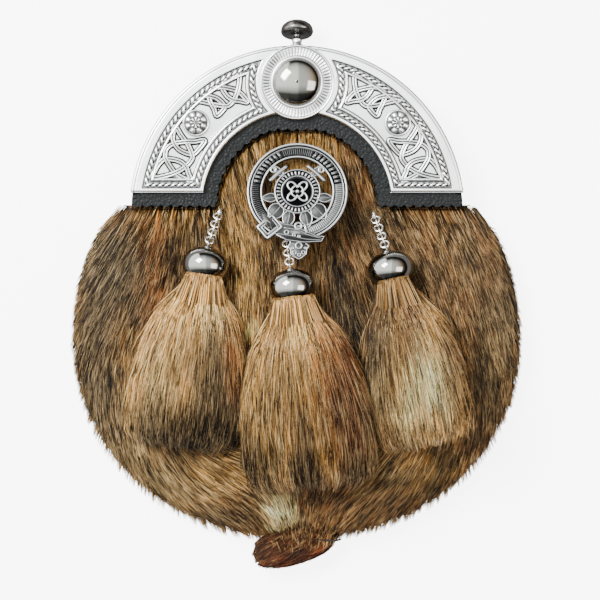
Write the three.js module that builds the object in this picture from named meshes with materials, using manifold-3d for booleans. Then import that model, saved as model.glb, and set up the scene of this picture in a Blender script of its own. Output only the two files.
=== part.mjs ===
// A full-dress sporran, a Highland belt pouch, lying on its back: a fur pouch under a metal half-ring
// cantle, with a black leather lip and back, a round strap-and-buckle badge, three fur tassels in metal
// bells on short chains, and a press knob that frees the catch. Millimetres. +Z points up out of the
// pouch's front, +Y runs from the fur's bottom to the knob, and +X is the viewer's right.
import * as THREE from "three";
import { mergeVertices } from "three/addons/utils/BufferGeometryUtils.js";
import Module from "manifold-3d";

const wasm = await Module();
wasm.setup();

// ---- Driving dimensions ----

const GAP = 0.4; // clearance between neighbouring pieces
const REST_GAP = 1.6; // clearance of a loose piece above the fur that it lies on

// The cantle is a half ring whose outer and inner arcs have centres of their own.
const CANTLE = {
  outerRadius: 77.3,
  outerY: 38.2,
  innerRadius: 43.5,
  innerY: 41.4,
  legY: 47.8, // where its two legs end
  backZ: 8,
  frontZ: 18,
  plate: 2,
  wall: 2,
  rimWidth: 2.2,
  rimHeight: 0.8,
};
const ROUNDEL = { y: 98.5, radius: 17.3, ringWidth: 1.7, ringHeight: 1.2, domeRadius: 10.9, domeHeight: 5 };
const BOSS = { x: 46.5, y: 79.7, radius: 6.2, height: 2.6 };

// The leather lip shows past the cantle's inner arc and below its legs.
const LIP = {
  reach: 6.3,
  thickness: 1.6,
  tuck: 3,
  scallopPitch: 4.4,
  scallopDepth: 1.1,
  footX: 75.8,
  dip: 1.9,
  dipSpread: 9,
};
const LIP_RADIUS = CANTLE.innerRadius - LIP.reach;
const LIP_FOOT_Y = CANTLE.legY - LIP.reach;
const LIP_TOP_Z = CANTLE.frontZ - CANTLE.plate - GAP;

// The fur pouch, whose outline is half a superellipse above its centre line and half below.
const BODY = {
  halfWidth: 103,
  above: 100.3,
  below: 93,
  y: -18,
  power: 2.1,
  rimZ: 9,
  bellyZ: 41,
  hideAndFur: 9, // thickness of the front wall
};
// The rim of the pouch turns under, from its widest line down to the surface it lies on.
const RIM_ROWS = [
  { reach: 0.992, z: 5 },
  { reach: 0.97, z: 1.6 },
  { reach: 0.945, z: 0 },
];
const BACK = { z: 5.6, thickness: 2, reach: 0.9, openingReach: 0.8 };

// The press knob slides in a collar. Its heights are counted along its axis from the cantle's edge.
const KNOB = {
  z: 10.9,
  tiltDegrees: 20,
  headRadius: 7.5,
  stemRadius: 1.6,
  boreRadius: 1.9,
  collarRadius: 2.7,
  collarFrom: -3,
  collarTo: 3.1,
  headFrom: 5.2,
  headHeight: 7.2,
};
const BADGE = {
  x: 0.2,
  y: 47.2,
  outer: 23,
  inner: 16,
  hub: 10.6,
  thickness: 2.2,
  tiltDegrees: 14,
  clearance: 2.8,
  armWidth: 4.4,
  postRadius: 1.4,
  postLength: 5,
};
const BUCKLE = { x: -12.6, y: -16.8, length: 9.6, width: 8.2, rise: 0.7, turnDegrees: 40 };
// The badge's hanging end, below its strap ring.
const HANGING_END = [[-3.6, -21], [-4.4, -26], [-3.2, -30], [0.4, -31.4], [4.2, -30], [5.2, -26], [4.4, -21]];
const BELL = {
  radius: 10.65,
  halfHeight: 8.2,
  wall: 1.2,
  mouthDegrees: -48,
  neckRadius: 5.2,
  eyeRise: 1.35,
};
const STAPLE = { postRadius: 1.1, postLength: 6 };
const LINK = { radius: 1.95, wire: 0.5, pitch: 2.66 };
const STRAP = {
  x: 56,
  y: 62,
  length: 16,
  width: 26,
  bar: 2.4,
  barZ: 1.5,
  tabWidth: 18,
  leather: 1.2,
  tabLength: 16,
};
const TAIL = { x: -1, y: -116, halfLength: 22.5, halfWidth: 8.6, height: 13, turnDegrees: 16 };

// One row for each tassel, with its bell's place, its lean from straight down (positive to the right),
// its chain's lean and number of links, and the tassel's own length and greatest width.
const TASSELS = [
  { side: "left", x: -41.6, y: 14.1, lean: -8, chainLean: -17, links: 7, length: 81.4, width: 54 },
  { side: "middle", x: -2.1, y: 4, lean: 6, chainLean: 8, links: 5, length: 90.4, width: 61 },
  { side: "right", x: 42.6, y: 12.3, lean: 12, chainLean: 19, links: 7, length: 79.4, width: 46 },
];
// Sections along a tassel, as shares of its length, its greatest width and its greatest depth.
const TASSEL_DEPTH = 17;
const TASSEL_ROWS = [
  { along: 0.05, width: 0.3, depth: 0.82 },
  { along: 0.12, width: 0.5, depth: 0.94 },
  { along: 0.24, width: 0.72, depth: 1.0 },
  { along: 0.4, width: 0.88, depth: 1.0 },
  { along: 0.6, width: 0.98, depth: 0.94 },
  { along: 0.78, width: 1.0, depth: 0.82 },
  { along: 0.91, width: 0.94, depth: 0.58 },
  { along: 0.98, width: 0.78, depth: 0.26 },
];

// ---- Small helpers ----

const radians = THREE.MathUtils.degToRad;
const Z_AXIS = new THREE.Vector3(0, 0, 1);

// A direction in the front plane, turned from straight down by so many degrees to the right.
function downwards(degrees) {
  return new THREE.Vector3(Math.sin(radians(degrees)), -Math.cos(radians(degrees)), 0);
}

// The closed mesh of a three.js geometry as a manifold-3d solid.
function solid(geometry) {
  const bare = geometry.index ? geometry.toNonIndexed() : geometry.clone();
  bare.deleteAttribute("normal");
  bare.deleteAttribute("uv");
  const merged = mergeVertices(bare, 1e-3);
  return new wasm.Manifold(
    new wasm.Mesh({
      numProp: 3,
      vertProperties: new Float32Array(merged.attributes.position.array),
      triVerts: new Uint32Array(merged.index.array),
    }),
  );
}

function geometryOf(manifold) {
  const mesh = manifold.getMesh();
  const geometry = new THREE.BufferGeometry();
  geometry.setAttribute("position", new THREE.BufferAttribute(mesh.vertProperties, 3));
  geometry.setIndex(new THREE.BufferAttribute(mesh.triVerts, 1));
  return geometry;
}

// A flat shape given thickness from one height to another.
function slab(shape, fromZ, toZ, curveSegments = 24) {
  const geometry = new THREE.ExtrudeGeometry(shape, {
    depth: toZ - fromZ,
    bevelEnabled: false,
    curveSegments,
  });
  return solid(geometry.translate(0, 0, fromZ));
}

function polygon(points) {
  return new THREE.Shape(points.map(([x, y]) => new THREE.Vector2(x, y)));
}

function rectangle(x0, y0, x1, y1) {
  return polygon([[x0, y0], [x1, y0], [x1, y1], [x0, y1]]);
}

function disc(x, y, radius, segments = 40) {
  const point = (i) => [
    x + radius * Math.cos((2 * Math.PI * i) / segments),
    y + radius * Math.sin((2 * Math.PI * i) / segments),
  ];
  return polygon(Array.from({ length: segments }, (_, i) => point(i)));
}

function ringShape(x, y, outer, inner, segments = 40) {
  const shape = disc(x, y, outer, segments);
  shape.holes.push(disc(x, y, inner, segments));
  return shape;
}

// A closed loft through rings of the same number of points, with a point at each end.
function loft(rings, firstPoint, lastPoint) {
  const count = rings[0].length;
  const points = [firstPoint, ...rings.flat(), lastPoint];
  const last = points.length - 1;
  const at = (ring, i) => 1 + ring * count + (i % count);
  const faces = [];
  for (let i = 0; i < count; i++) {
    faces.push(0, at(0, i), at(0, i + 1));
    for (let ring = 0; ring + 1 < rings.length; ring++) {
      faces.push(at(ring, i), at(ring + 1, i), at(ring + 1, i + 1));
      faces.push(at(ring, i), at(ring + 1, i + 1), at(ring, i + 1));
    }
    faces.push(at(rings.length - 1, i), last, at(rings.length - 1, i + 1));
  }
  const geometry = new THREE.BufferGeometry().setFromPoints(points);
  geometry.setIndex(faces);
  return solid(geometry);
}

// A round body turned about an axis through a centre, from a profile of [radius, height along the axis].
function turned(profile, centre, axis, segments) {
  const outline = profile.map(([radius, height]) => new THREE.Vector2(radius, height));
  const geometry = new THREE.LatheGeometry(outline, segments);
  const up = new THREE.Vector3(0, 1, 0);
  geometry.applyQuaternion(new THREE.Quaternion().setFromUnitVectors(up, axis));
  return solid(geometry.translate(centre.x, centre.y, centre.z));
}

// The profile of a plain round rod, for turned().
function rod(radius, from, to) {
  return [[0, from], [radius, from], [radius, to], [0, to]];
}

// ---- The outer form of the fur ----

function bodyScale(y) {
  return y > BODY.y ? BODY.above : BODY.below;
}

// How far out a point is, from 0 at the pouch's centre to 1 at its outline.
function reachOf(x, y) {
  const across = Math.abs(x / BODY.halfWidth) ** BODY.power;
  const along = Math.abs((y - BODY.y) / bodyScale(y)) ** BODY.power;
  return (across + along) ** (1 / BODY.power);
}

// The point of the outline in a direction, drawn in to a share of its distance from the centre.
function outlinePoint(angle, reach) {
  const bend = (v) => Math.sign(v) * Math.abs(v) ** (2 / BODY.power);
  const x = reach * BODY.halfWidth * bend(Math.cos(angle));
  const rise = Math.sin(angle) > 0 ? BODY.above : BODY.below;
  return [x, BODY.y + reach * rise * bend(Math.sin(angle))];
}

function outlineShape(reach, segments = 56) {
  const point = (i) => outlinePoint((2 * Math.PI * i) / segments, reach);
  return polygon(Array.from({ length: segments }, (_, i) => point(i)));
}

// Distance of a point of the fur from the lip's edge.
function fromLip(x, y) {
  const side = Math.abs(x);
  if (y > LIP_FOOT_Y) {
    return Math.max(LIP_RADIUS - Math.hypot(x, y - CANTLE.innerY), side - LIP.footX, 0);
  }
  const beside = Math.max(LIP_RADIUS - side, side - LIP.footX, 0);
  return Math.hypot(beside, LIP_FOOT_Y - y);
}

function smoothLesser(a, b, blend = 2.5) {
  return -blend * Math.log(Math.exp(-a / blend) + Math.exp(-b / blend));
}

// Height of the fur's outer form before the bells press into it: a full belly that comes down to its rim,
// and to the leather lip.
function fullFur(x, y) {
  const reach = Math.min(reachOf(x, y), 1);
  const belly = BODY.rimZ + (BODY.bellyZ - BODY.rimZ) * (1 - reach ** 2.4) ** 0.7;
  const away = fromLip(x, y);
  const besideLip = LIP_TOP_Z + 1 + 3 * (1 - Math.exp(-away / 4)) + 0.33 * away;
  return smoothLesser(belly, besideLip);
}

// Each bell and its chain press a trough into the fur.
const TROUGH = { depth: 7, spread: 11, length: 22, taper: 0.5 };

function furTop(x, y) {
  const troughs = TASSELS.map((t) => {
    const up = downwards(t.chainLean).multiplyScalar(-1);
    const along = THREE.MathUtils.clamp((x - t.x) * up.x + (y - t.y) * up.y, 0, TROUGH.length);
    const near = Math.hypot(x - t.x - along * up.x, y - t.y - along * up.y) / TROUGH.spread;
    return TROUGH.depth * (1 - (TROUGH.taper * along) / TROUGH.length) * Math.exp(-near * near);
  });
  return fullFur(x, y) - troughs.reduce((sum, trough) => sum + trough, 0);
}

// A solid dome over the pouch's outline: rings out to a reach, then rows that turn under to the floor.
function domeSolid(rowReaches, heightAt, underRows, floorZ, segments = 56) {
  const ring = (reach, height) =>
    Array.from({ length: segments }, (_, i) => {
      const [x, y] = outlinePoint((2 * Math.PI * i) / segments, reach);
      return new THREE.Vector3(x, y, height(x, y));
    });
  const upper = rowReaches.map((reach) => ring(reach, heightAt));
  const under = underRows.map((row) => ring(row.reach, () => row.z));
  const top = new THREE.Vector3(0, BODY.y, heightAt(0, BODY.y));
  const foot = new THREE.Vector3(0, BODY.y, floorZ);
  return loft([...upper, ...under], top, foot);
}

// ---- Metal cantle ----

// The cantle's outline as a flat shape, grown by a margin all round.
function cantleShape(margin = 0) {
  const outer = CANTLE.outerRadius + margin;
  const inner = CANTLE.innerRadius - margin;
  const legY = CANTLE.legY - margin;
  const outerAngle = Math.asin((legY - CANTLE.outerY) / outer);
  const innerAngle = Math.asin((legY - CANTLE.innerY) / inner);
  const shape = new THREE.Shape();
  shape.absarc(0, CANTLE.outerY, outer, outerAngle, Math.PI - outerAngle, false);
  shape.absarc(0, CANTLE.innerY, inner, Math.PI - innerAngle, innerAngle, true);
  shape.closePath();
  return shape;
}

// The straight path that the knob slides along, out of the cantle's top edge and leaning back.
const knobTilt = radians(KNOB.tiltDegrees);
const knobAxis = new THREE.Vector3(0, Math.cos(knobTilt), -Math.sin(knobTilt));
const knobFoot = new THREE.Vector3(0, CANTLE.outerY + CANTLE.outerRadius, KNOB.z);

function cantle() {
  const { outerY, outerRadius, legY, backZ, frontZ, plate, wall, rimWidth, rimHeight } = CANTLE;
  const faceZ = frontZ - plate;
  const roundel = slab(disc(0, ROUNDEL.y, ROUNDEL.radius), faceZ, frontZ);
  const face = slab(cantleShape(), faceZ, frontZ).add(roundel);
  const hoop = slab(ringShape(0, outerY, outerRadius, outerRadius - wall, 96), backZ, faceZ + 0.5);
  const lower = slab(rectangle(-100, -100, 100, legY), backZ - 1, frontZ);
  const rim = slab(cantleShape(), frontZ - 0.5, frontZ + rimHeight).subtract(
    slab(cantleShape(-rimWidth), frontZ - 1, frontZ + 2),
  );
  const ring = ringShape(0, ROUNDEL.y, ROUNDEL.radius, ROUNDEL.radius - ROUNDEL.ringWidth);
  const setting = slab(ring, frontZ - 0.5, frontZ + ROUNDEL.ringHeight);
  const { boreRadius, collarRadius, collarFrom, collarTo } = KNOB;
  const collar = turned(rod(collarRadius, collarFrom, collarTo), knobFoot, knobAxis, 20);
  const bore = turned(rod(boreRadius, 3 * collarFrom, 3 * collarTo), knobFoot, knobAxis, 20);
  const inside = slab(disc(0, outerY, outerRadius - wall), backZ - 1, faceZ, 48);
  return face.add(hoop.subtract(lower)).add(rim).add(setting).add(collar.subtract(inside)).subtract(bore);
}

function centreDome() {
  const { domeRadius, domeHeight, y } = ROUNDEL;
  const rows = [0, 18, 36, 54, 72, 90].map(radians);
  const profile = [[0, 0], ...rows.map((a) => [domeRadius * Math.cos(a), 0.8 + domeHeight * Math.sin(a)])];
  profile.splice(1, 0, [domeRadius, 0]);
  profile[profile.length - 1][0] = 0;
  return turned(profile, new THREE.Vector3(0, y, CANTLE.frontZ + GAP), Z_AXIS, 28);
}

function boss(side) {
  const { radius, height } = BOSS;
  const rim = [[0, 0], [radius, 0], [radius, 0.7]];
  const crown = [[radius * 0.78, height * 0.85], [radius * 0.4, height], [0, height]];
  const foot = new THREE.Vector3(side * BOSS.x, BOSS.y, CANTLE.frontZ + GAP);
  return turned([...rim, ...crown], foot, Z_AXIS, 20);
}

function pressKnob() {
  const { headRadius: r, stemRadius: s } = KNOB;
  const flange = [[0, -5.9], [s + 0.6, -5.9], [s + 0.6, -4.7], [s, -4.7]];
  const shares = [[0.55, 0.06], [1, 0.25], [1, 0.48], [0.88, 0.74], [0.55, 0.93], [0, 1]];
  const head = shares.map(([out, up]) => [r * out, KNOB.headFrom + KNOB.headHeight * up]);
  return turned([...flange, [s, KNOB.headFrom], ...head], knobFoot, knobAxis, 24);
}

// ---- Leather ----

// The lip's free edge from the left foot's outer corner to the right one's, without its scallops.
function lipEdge() {
  const path = new THREE.CurvePath();
  const line = (x0, y0, x1, y1) =>
    path.add(new THREE.LineCurve(new THREE.Vector2(x0, y0), new THREE.Vector2(x1, y1)));
  line(-LIP.footX, LIP_FOOT_Y, -LIP_RADIUS, LIP_FOOT_Y);
  const corner = Math.asin((LIP_FOOT_Y - CANTLE.innerY) / LIP_RADIUS);
  const radius = LIP_RADIUS;
  path.add(new THREE.EllipseCurve(0, CANTLE.innerY, radius, radius, Math.PI - corner, corner, true, 0));
  line(LIP_RADIUS, LIP_FOOT_Y, LIP.footX, LIP_FOOT_Y);
  return path;
}

// Points along the lip's free edge, each moved towards the fur by a distance, a whole number of scallops
// in all. Below the centre setting the edge dips.
const SCALLOP_STEPS = 3;

function lipEdgePoints(outBy) {
  const edge = lipEdge();
  const steps = SCALLOP_STEPS * Math.round(edge.getLength() / LIP.scallopPitch);
  return Array.from({ length: steps + 1 }, (_, i) => {
    const point = edge.getPointAt(i / steps);
    const along = edge.getTangentAt(i / steps);
    const dip = point.y > CANTLE.legY ? LIP.dip * Math.exp(-((point.x / LIP.dipSpread) ** 2)) : 0;
    return [point.x + along.y * outBy(i), point.y - along.x * outBy(i) - dip];
  });
}

// Each scallop is a shallow round bulge between two notches.
function scallopedEdge() {
  return lipEdgePoints((i) => LIP.scallopDepth * (Math.abs(Math.sin((Math.PI * i) / SCALLOP_STEPS)) - 0.5));
}

function leatherLip() {
  const tucked = CANTLE.innerRadius + LIP.tuck;
  const topY = CANTLE.legY + LIP.tuck;
  const hidden = Math.asin((topY - CANTLE.innerY) / tucked);
  const steps = 28;
  const arc = Array.from({ length: steps + 1 }, (_, i) => {
    const angle = hidden + ((Math.PI - 2 * hidden) * i) / steps;
    return [tucked * Math.cos(angle), CANTLE.innerY + tucked * Math.sin(angle)];
  });
  const underLeg = CANTLE.legY - GAP;
  const inset = LIP.footX - CANTLE.wall - 1.5;
  const right = [[LIP.footX, underLeg - 1], [inset, underLeg], [inset, topY]];
  const left = right.map(([x, y]) => [-x, y]).reverse();
  const outline = [...scallopedEdge(), ...right, ...arc, ...left];
  return slab(polygon(outline), LIP_TOP_Z - LIP.thickness, LIP_TOP_Z);
}

function backShape(margin = 0) {
  const top = disc(0, CANTLE.outerY, CANTLE.outerRadius - 0.3 + margin, 64);
  const reach = BACK.reach + margin / BODY.halfWidth;
  return { top, body: outlineShape(reach) };
}

function backSlab(margin, fromZ, toZ) {
  const { top, body } = backShape(margin);
  const upper = slab(top, fromZ, toZ).subtract(slab(rectangle(-200, -200, 200, BODY.y), fromZ - 1, toZ + 1));
  return slab(body, fromZ, toZ).add(upper);
}

function backPanel() {
  return backSlab(0, BACK.z, BACK.z + BACK.thickness);
}

// ---- Fur ----

// The hollow behind the front wall, over the leather back.
function pouchInside() {
  const backTop = BACK.z + BACK.thickness + GAP;
  const ceiling = (x, y) => Math.max(fullFur(x, y) - BODY.hideAndFur, backTop + 1);
  const reaches = [0.2, 0.4, 0.56, 0.7, 0.8, 0.88];
  return domeSolid(reaches, ceiling, [{ reach: 0.88, z: backTop - 0.2 }], backTop - 0.2, 40);
}

const FUR_REACHES = [
  0.07, 0.14, 0.21, 0.28, 0.34, 0.4, 0.46, 0.52, 0.58, 0.64, 0.7, 0.76, 0.82, 0.87, 0.92, 0.96, 0.985, 1,
];

function outerFur(grow = 1) {
  const reaches = FUR_REACHES.map((reach) => reach * grow);
  const under = RIM_ROWS.map((row) => ({ reach: row.reach * grow, z: row.z }));
  return domeSolid(reaches, furTop, under, 0);
}

function furBody() {
  const above = 60;
  const side = LIP.footX + GAP;
  const free = lipEdgePoints(() => LIP.scallopDepth / 2 + GAP + 0.2);
  const underLip = polygon([[-side, free[0][1]], ...free, [side, free[0][1]], [side, 150], [-side, 150]]);
  const arch = slab(disc(0, CANTLE.innerY, LIP_RADIUS, 72), -2, above + 1);
  const besideLegs = slab(rectangle(-150, CANTLE.legY - GAP, 150, 150), -1, above).subtract(arch);
  const backTop = BACK.z + BACK.thickness;
  const underTop = slab(disc(0, CANTLE.outerY, CANTLE.outerRadius + GAP, 64), -1, backTop + GAP).subtract(
    slab(rectangle(-200, -200, 200, LIP_FOOT_Y - GAP), -2, above),
  );
  const mouthX = LIP_RADIUS + 1;
  const mouth = slab(rectangle(-mouthX, LIP_FOOT_Y - 12, mouthX, 100), backTop, LIP_TOP_Z - 2);
  return outerFur()
    .subtract(slab(underLip, -1, above))
    .subtract(besideLegs)
    .subtract(underTop)
    .subtract(mouth)
    .subtract(pouchInside())
    .subtract(backSlab(GAP, BACK.z - GAP, backTop + GAP))
    .subtract(slab(outlineShape(BACK.openingReach, 40), -1, BACK.z + 1));
}

function furTail() {
  const { x, y, halfLength, halfWidth, height, turnDegrees } = TAIL;
  const ball = new THREE.SphereGeometry(1, 20, 12);
  ball.scale(halfLength, halfWidth, height / 2);
  ball.rotateZ(radians(turnDegrees));
  ball.translate(x, y, height / 2);
  const flatFoot = slab(rectangle(-100, -200, 100, 0), -20, 0);
  return solid(ball).subtract(flatFoot).subtract(outerFur(1 + (2 * GAP) / BODY.halfWidth));
}

// ---- Badge ----

// A round strap-and-buckle badge: a strap ring, its buckle and hanging end, and a hub on four arms. It
// tilts with the fur and rests on it, on two posts that go through the hide.
function badgePlace() {
  const slope = Math.tan(radians(BADGE.tiltDegrees));
  const hangingReach = Math.min(...HANGING_END.map(([, y]) => y));
  const underneath = [[0, 0], [0, hangingReach], [0, hangingReach + 2]];
  for (let step = 0; step < 24; step++) {
    const angle = (step * Math.PI) / 12;
    for (const radius of [BADGE.inner, BADGE.outer, BADGE.outer + 4]) {
      underneath.push([radius * Math.cos(angle), radius * Math.sin(angle)]);
    }
  }
  const heights = underneath.map(([dx, dy]) => furTop(BADGE.x + dx, BADGE.y + dy) + slope * dy);
  return new THREE.Vector3(BADGE.x, BADGE.y, Math.max(...heights) + BADGE.clearance);
}

function inBadgePlace(manifold) {
  const { x, y, z } = badgePlace();
  return manifold.rotate([-BADGE.tiltDegrees, 0, 0]).translate([x, y, z]);
}

function badgePosts(clearance) {
  const radius = BADGE.postRadius + clearance;
  const middle = (BADGE.outer + BADGE.inner) / 2;
  const depth = BADGE.postLength + 2.5 * clearance;
  return [-middle, middle].map((x) => slab(disc(x, 0, radius, 16), -depth, 0.5));
}

function badge() {
  const { outer, inner, hub, thickness, armWidth } = BADGE;
  const bar = rectangle(hub - 1, -armWidth / 2, inner + 1, armWidth / 2);
  const arm = (degrees) => slab(bar, 0, thickness).rotate([0, 0, degrees]);
  const { length, width, rise, turnDegrees } = BUCKLE;
  const buckle = slab(rectangle(-length / 2, -width / 2, length / 2, width / 2), 0, thickness + rise)
    .rotate([0, 0, turnDegrees])
    .translate([BUCKLE.x, BUCKLE.y, 0]);
  const pieces = [
    slab(disc(0, 0, hub, 32), 0, thickness),
    ...[45, 135, 225, 315].map(arm),
    slab(polygon(HANGING_END), 0, thickness),
    buckle,
    ...badgePosts(0),
  ];
  const strapRing = slab(ringShape(0, 0, outer, inner, 48), 0, thickness);
  return inBadgePlace(pieces.reduce((whole, piece) => whole.add(piece), strapRing));
}

function badgeHoles() {
  return badgePosts(GAP).map(inBadgePlace);
}

// ---- Tassels, bells and chains ----

// A bell lies on its side: it comes down until the underside of its round form meets the fur.
function bellCentre(t) {
  const down = downwards(t.lean);
  const heights = [];
  for (const along of [-0.75, -0.4, 0, 0.4, 0.75]) {
    for (const across of [-0.6, -0.3, 0, 0.3, 0.6]) {
      const a = along * BELL.halfHeight;
      const b = across * BELL.radius;
      const under = BELL.radius * Math.sqrt(1 - along ** 2 - across ** 2);
      heights.push(furTop(t.x + a * down.x - b * down.y, t.y + a * down.y + b * down.x) + under);
    }
  }
  return new THREE.Vector3(t.x, t.y, Math.max(...heights) + REST_GAP);
}

function torusSolid(centre, along, normal) {
  const geometry = new THREE.TorusGeometry(LINK.radius, LINK.wire, 6, 12);
  const across = new THREE.Vector3().crossVectors(normal, along).normalize();
  const up = new THREE.Vector3().crossVectors(along, across).normalize();
  geometry.applyMatrix4(new THREE.Matrix4().makeBasis(along, across, up));
  return solid(geometry.translate(centre.x, centre.y, centre.z));
}

// Where a tassel's chain runs: the middle of the bell's eye, the middle of the staple's eye and the links.
function chainRoute(t) {
  const centre = bellCentre(t);
  const eye = centre.clone().addScaledVector(downwards(t.lean), -(BELL.halfHeight + BELL.eyeRise));
  const length = (t.links + 1) * LINK.pitch;
  const flat = downwards(t.chainLean).multiplyScalar(-1);
  // The chain comes down to the fur as far off as its length lets it, found in a few passes.
  let end = eye.clone().addScaledVector(flat, length);
  for (let pass = 0; pass < 8; pass++) {
    const lying = furTop(end.x, end.y) + LINK.radius + LINK.wire + REST_GAP;
    end = eye.clone().addScaledVector(flat, Math.sqrt(length ** 2 - (eye.z - lying) ** 2));
    end.z = lying;
  }
  const along = end.clone().sub(eye).normalize();
  const side = new THREE.Vector3().crossVectors(along, Z_AXIS).normalize();
  const face = new THREE.Vector3().crossVectors(side, along).normalize();
  const links = Array.from({ length: t.links }, (_, i) => ({
    centre: eye.clone().addScaledVector(along, (i + 1) * LINK.pitch),
    normal: i % 2 ? side : face,
  }));
  return { eye, end, along, side, links };
}

function bell(t) {
  const { radius, halfHeight, wall, mouthDegrees } = BELL;
  const angles = [90, 72, 54, 36, 18, 0, -18, -34, mouthDegrees];
  const outside = angles.map((a) => [radius * Math.cos(radians(a)), halfHeight * Math.sin(radians(a))]);
  const inside = [...angles].reverse().map((a) => [
    (radius - wall) * Math.cos(radians(a)),
    (halfHeight - wall) * Math.sin(radians(a)),
  ]);
  outside[0][0] = 0;
  inside[inside.length - 1][0] = 0;
  const up = downwards(t.lean).multiplyScalar(-1);
  const cup = turned([...outside, ...inside].reverse(), bellCentre(t), up, 24);
  const { eye, side } = chainRoute(t);
  return cup.add(torusSolid(eye, up, side));
}

function chainStaple(t) {
  const { end, along, side } = chainRoute(t);
  const foot = new THREE.Vector3(end.x, end.y, end.z - LINK.radius);
  const post = turned(rod(STAPLE.postRadius, -STAPLE.postLength, 0.2), foot, Z_AXIS, 12);
  return torusSolid(end, along, side).add(post);
}

function stapleHole(t) {
  const { end } = chainRoute(t);
  const foot = new THREE.Vector3(end.x, end.y, end.z - LINK.radius);
  return turned(rod(STAPLE.postRadius + GAP, -STAPLE.postLength - 1, 1), foot, Z_AXIS, 12);
}

// A tassel fans out of its bell and lies on the fur, each section an oval flattened where it rests.
function tassel(t, ringPoints = 16) {
  const centre = bellCentre(t);
  const down = downwards(t.lean);
  const across = new THREE.Vector3(-down.y, down.x, 0);
  const mouth = BELL.halfHeight * -Math.sin(radians(BELL.mouthDegrees));
  const section = (distance, width, depth, centreZ) => {
    const middle = centre.clone().addScaledVector(down, distance);
    return Array.from({ length: ringPoints }, (_, i) => {
      const angle = (2 * Math.PI * i) / ringPoints;
      const point = middle.clone().addScaledVector(across, (width / 2) * Math.cos(angle));
      const z = centreZ + (depth / 2) * Math.sin(angle);
      point.z = Math.max(z, furTop(point.x, point.y) + 2 * GAP);
      return point;
    });
  };
  // Its root fills the bell.
  const rootRadius = BELL.radius - BELL.wall - GAP;
  const rootHeight = BELL.halfHeight - BELL.wall;
  const rings = [-0.75, -0.4, 0, 0.4].map((share) => {
    const width = 2 * rootRadius * Math.sqrt(1 - share ** 2);
    return section(share * rootHeight, width, width, centre.z);
  });
  const neck = 2 * BELL.neckRadius;
  rings.push(section(0.72 * rootHeight, neck, neck, centre.z), section(mouth + 0.5, neck, neck, centre.z));
  for (const row of TASSEL_ROWS) {
    const distance = mouth + row.along * t.length;
    const middle = centre.clone().addScaledVector(down, distance);
    const depth = row.depth * TASSEL_DEPTH;
    const lying = furTop(middle.x, middle.y) + 2 * GAP + depth / 2;
    const settled = Math.min(row.along / 0.24, 1);
    rings.push(section(distance, row.width * t.width, depth, THREE.MathUtils.lerp(centre.z, lying, settled)));
  }
  const first = centre.clone().addScaledVector(down, -0.8 * rootHeight);
  const last = centre.clone().addScaledVector(down, mouth + t.length);
  last.z = furTop(last.x, last.y) + 3 * GAP;
  return loft(rings.map((ring) => ring.reverse()), first, last);
}

// ---- Strap rings and tabs on the back ----

function strapRing(side) {
  const { x, y, length, width, bar, barZ } = STRAP;
  const frame = rectangle(-length / 2, -width / 2, length / 2, width / 2);
  frame.holes.push(rectangle(bar - length / 2, bar - width / 2, length / 2 - bar, width / 2 - bar));
  return slab(frame, barZ, barZ + bar).translate([side * x, y, 0]);
}

// A strip of leather folded round the ring's inner bar, seen here from its edge and drawn out to its width.
function strapTab(side) {
  const { x, y, length, bar, barZ, tabWidth, leather, tabLength } = STRAP;
  const barEnd = bar + 0.3;
  const top = BACK.z - GAP;
  const outline = polygon([
    [barEnd + leather, 0],
    [barEnd + leather, top],
    [-tabLength, top],
    [-tabLength, top - 2 * leather],
    [-7, top - 2 * leather],
    [-2, 0],
  ]);
  outline.holes.push(rectangle(-0.3, barZ - 0.3, barEnd, barZ + bar + 0.3));
  return slab(outline, -tabWidth / 2, tabWidth / 2)
    .rotate([90, 0, 0])
    .rotate([0, 0, side > 0 ? 0 : 180])
    .translate([side * (x - length / 2), y, 0]);
}

// ---- Materials and assembly ----

function finish(colour, roughness, metalness) {
  return new THREE.MeshStandardMaterial({ color: colour, roughness, metalness });
}

const MATERIALS = {
  silver: finish(0xdfe1e3, 0.2, 1),
  nickel: finish(0xa8a39c, 0.12, 1),
  pewter: finish(0x8f9195, 0.35, 1),
  leather: finish(0x23272a, 0.55, 0),
  bodyFur: finish(0x7d6238, 0.8, 0),
  tasselFur: finish(0x9a7648, 0.75, 0),
  tailFur: finish(0x4a2a14, 0.8, 0),
};

const sporran = new THREE.Group();

function place(name, manifold, material) {
  const mesh = new THREE.Mesh(geometryOf(manifold), material);
  mesh.name = name;
  sporran.add(mesh);
}

let furWithHoles = furBody();
for (const hole of [...badgeHoles(), ...TASSELS.map(stapleHole)]) furWithHoles = furWithHoles.subtract(hole);

place("fur_body", furWithHoles, MATERIALS.bodyFur);
place("fur_tail", furTail(), MATERIALS.tailFur);
place("back_panel", backPanel(), MATERIALS.leather);
place("leather_lip", leatherLip(), MATERIALS.leather);
place("cantle", cantle(), MATERIALS.silver);
place("centre_dome", centreDome(), MATERIALS.nickel);
place("press_knob", pressKnob(), MATERIALS.nickel);
place("badge", badge(), MATERIALS.pewter);
for (const [name, side] of [["left", -1], ["right", 1]]) {
  place(`boss_${name}`, boss(side), MATERIALS.silver);
  place(`strap_ring_${name}`, strapRing(side), MATERIALS.nickel);
  place(`strap_tab_${name}`, strapTab(side), MATERIALS.leather);
}
for (const t of TASSELS) {
  place(`tassel_${t.side}`, tassel(t), MATERIALS.tasselFur);
  place(`bell_${t.side}`, bell(t), MATERIALS.nickel);
  place(`chain_${t.side}_staple`, chainStaple(t), MATERIALS.nickel);
  const { along, links } = chainRoute(t);
  links.forEach((link, i) => {
    place(`chain_${t.side}_link_${i + 1}`, torusSolid(link.centre, along, link.normal), MATERIALS.nickel);
  });
}

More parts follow.
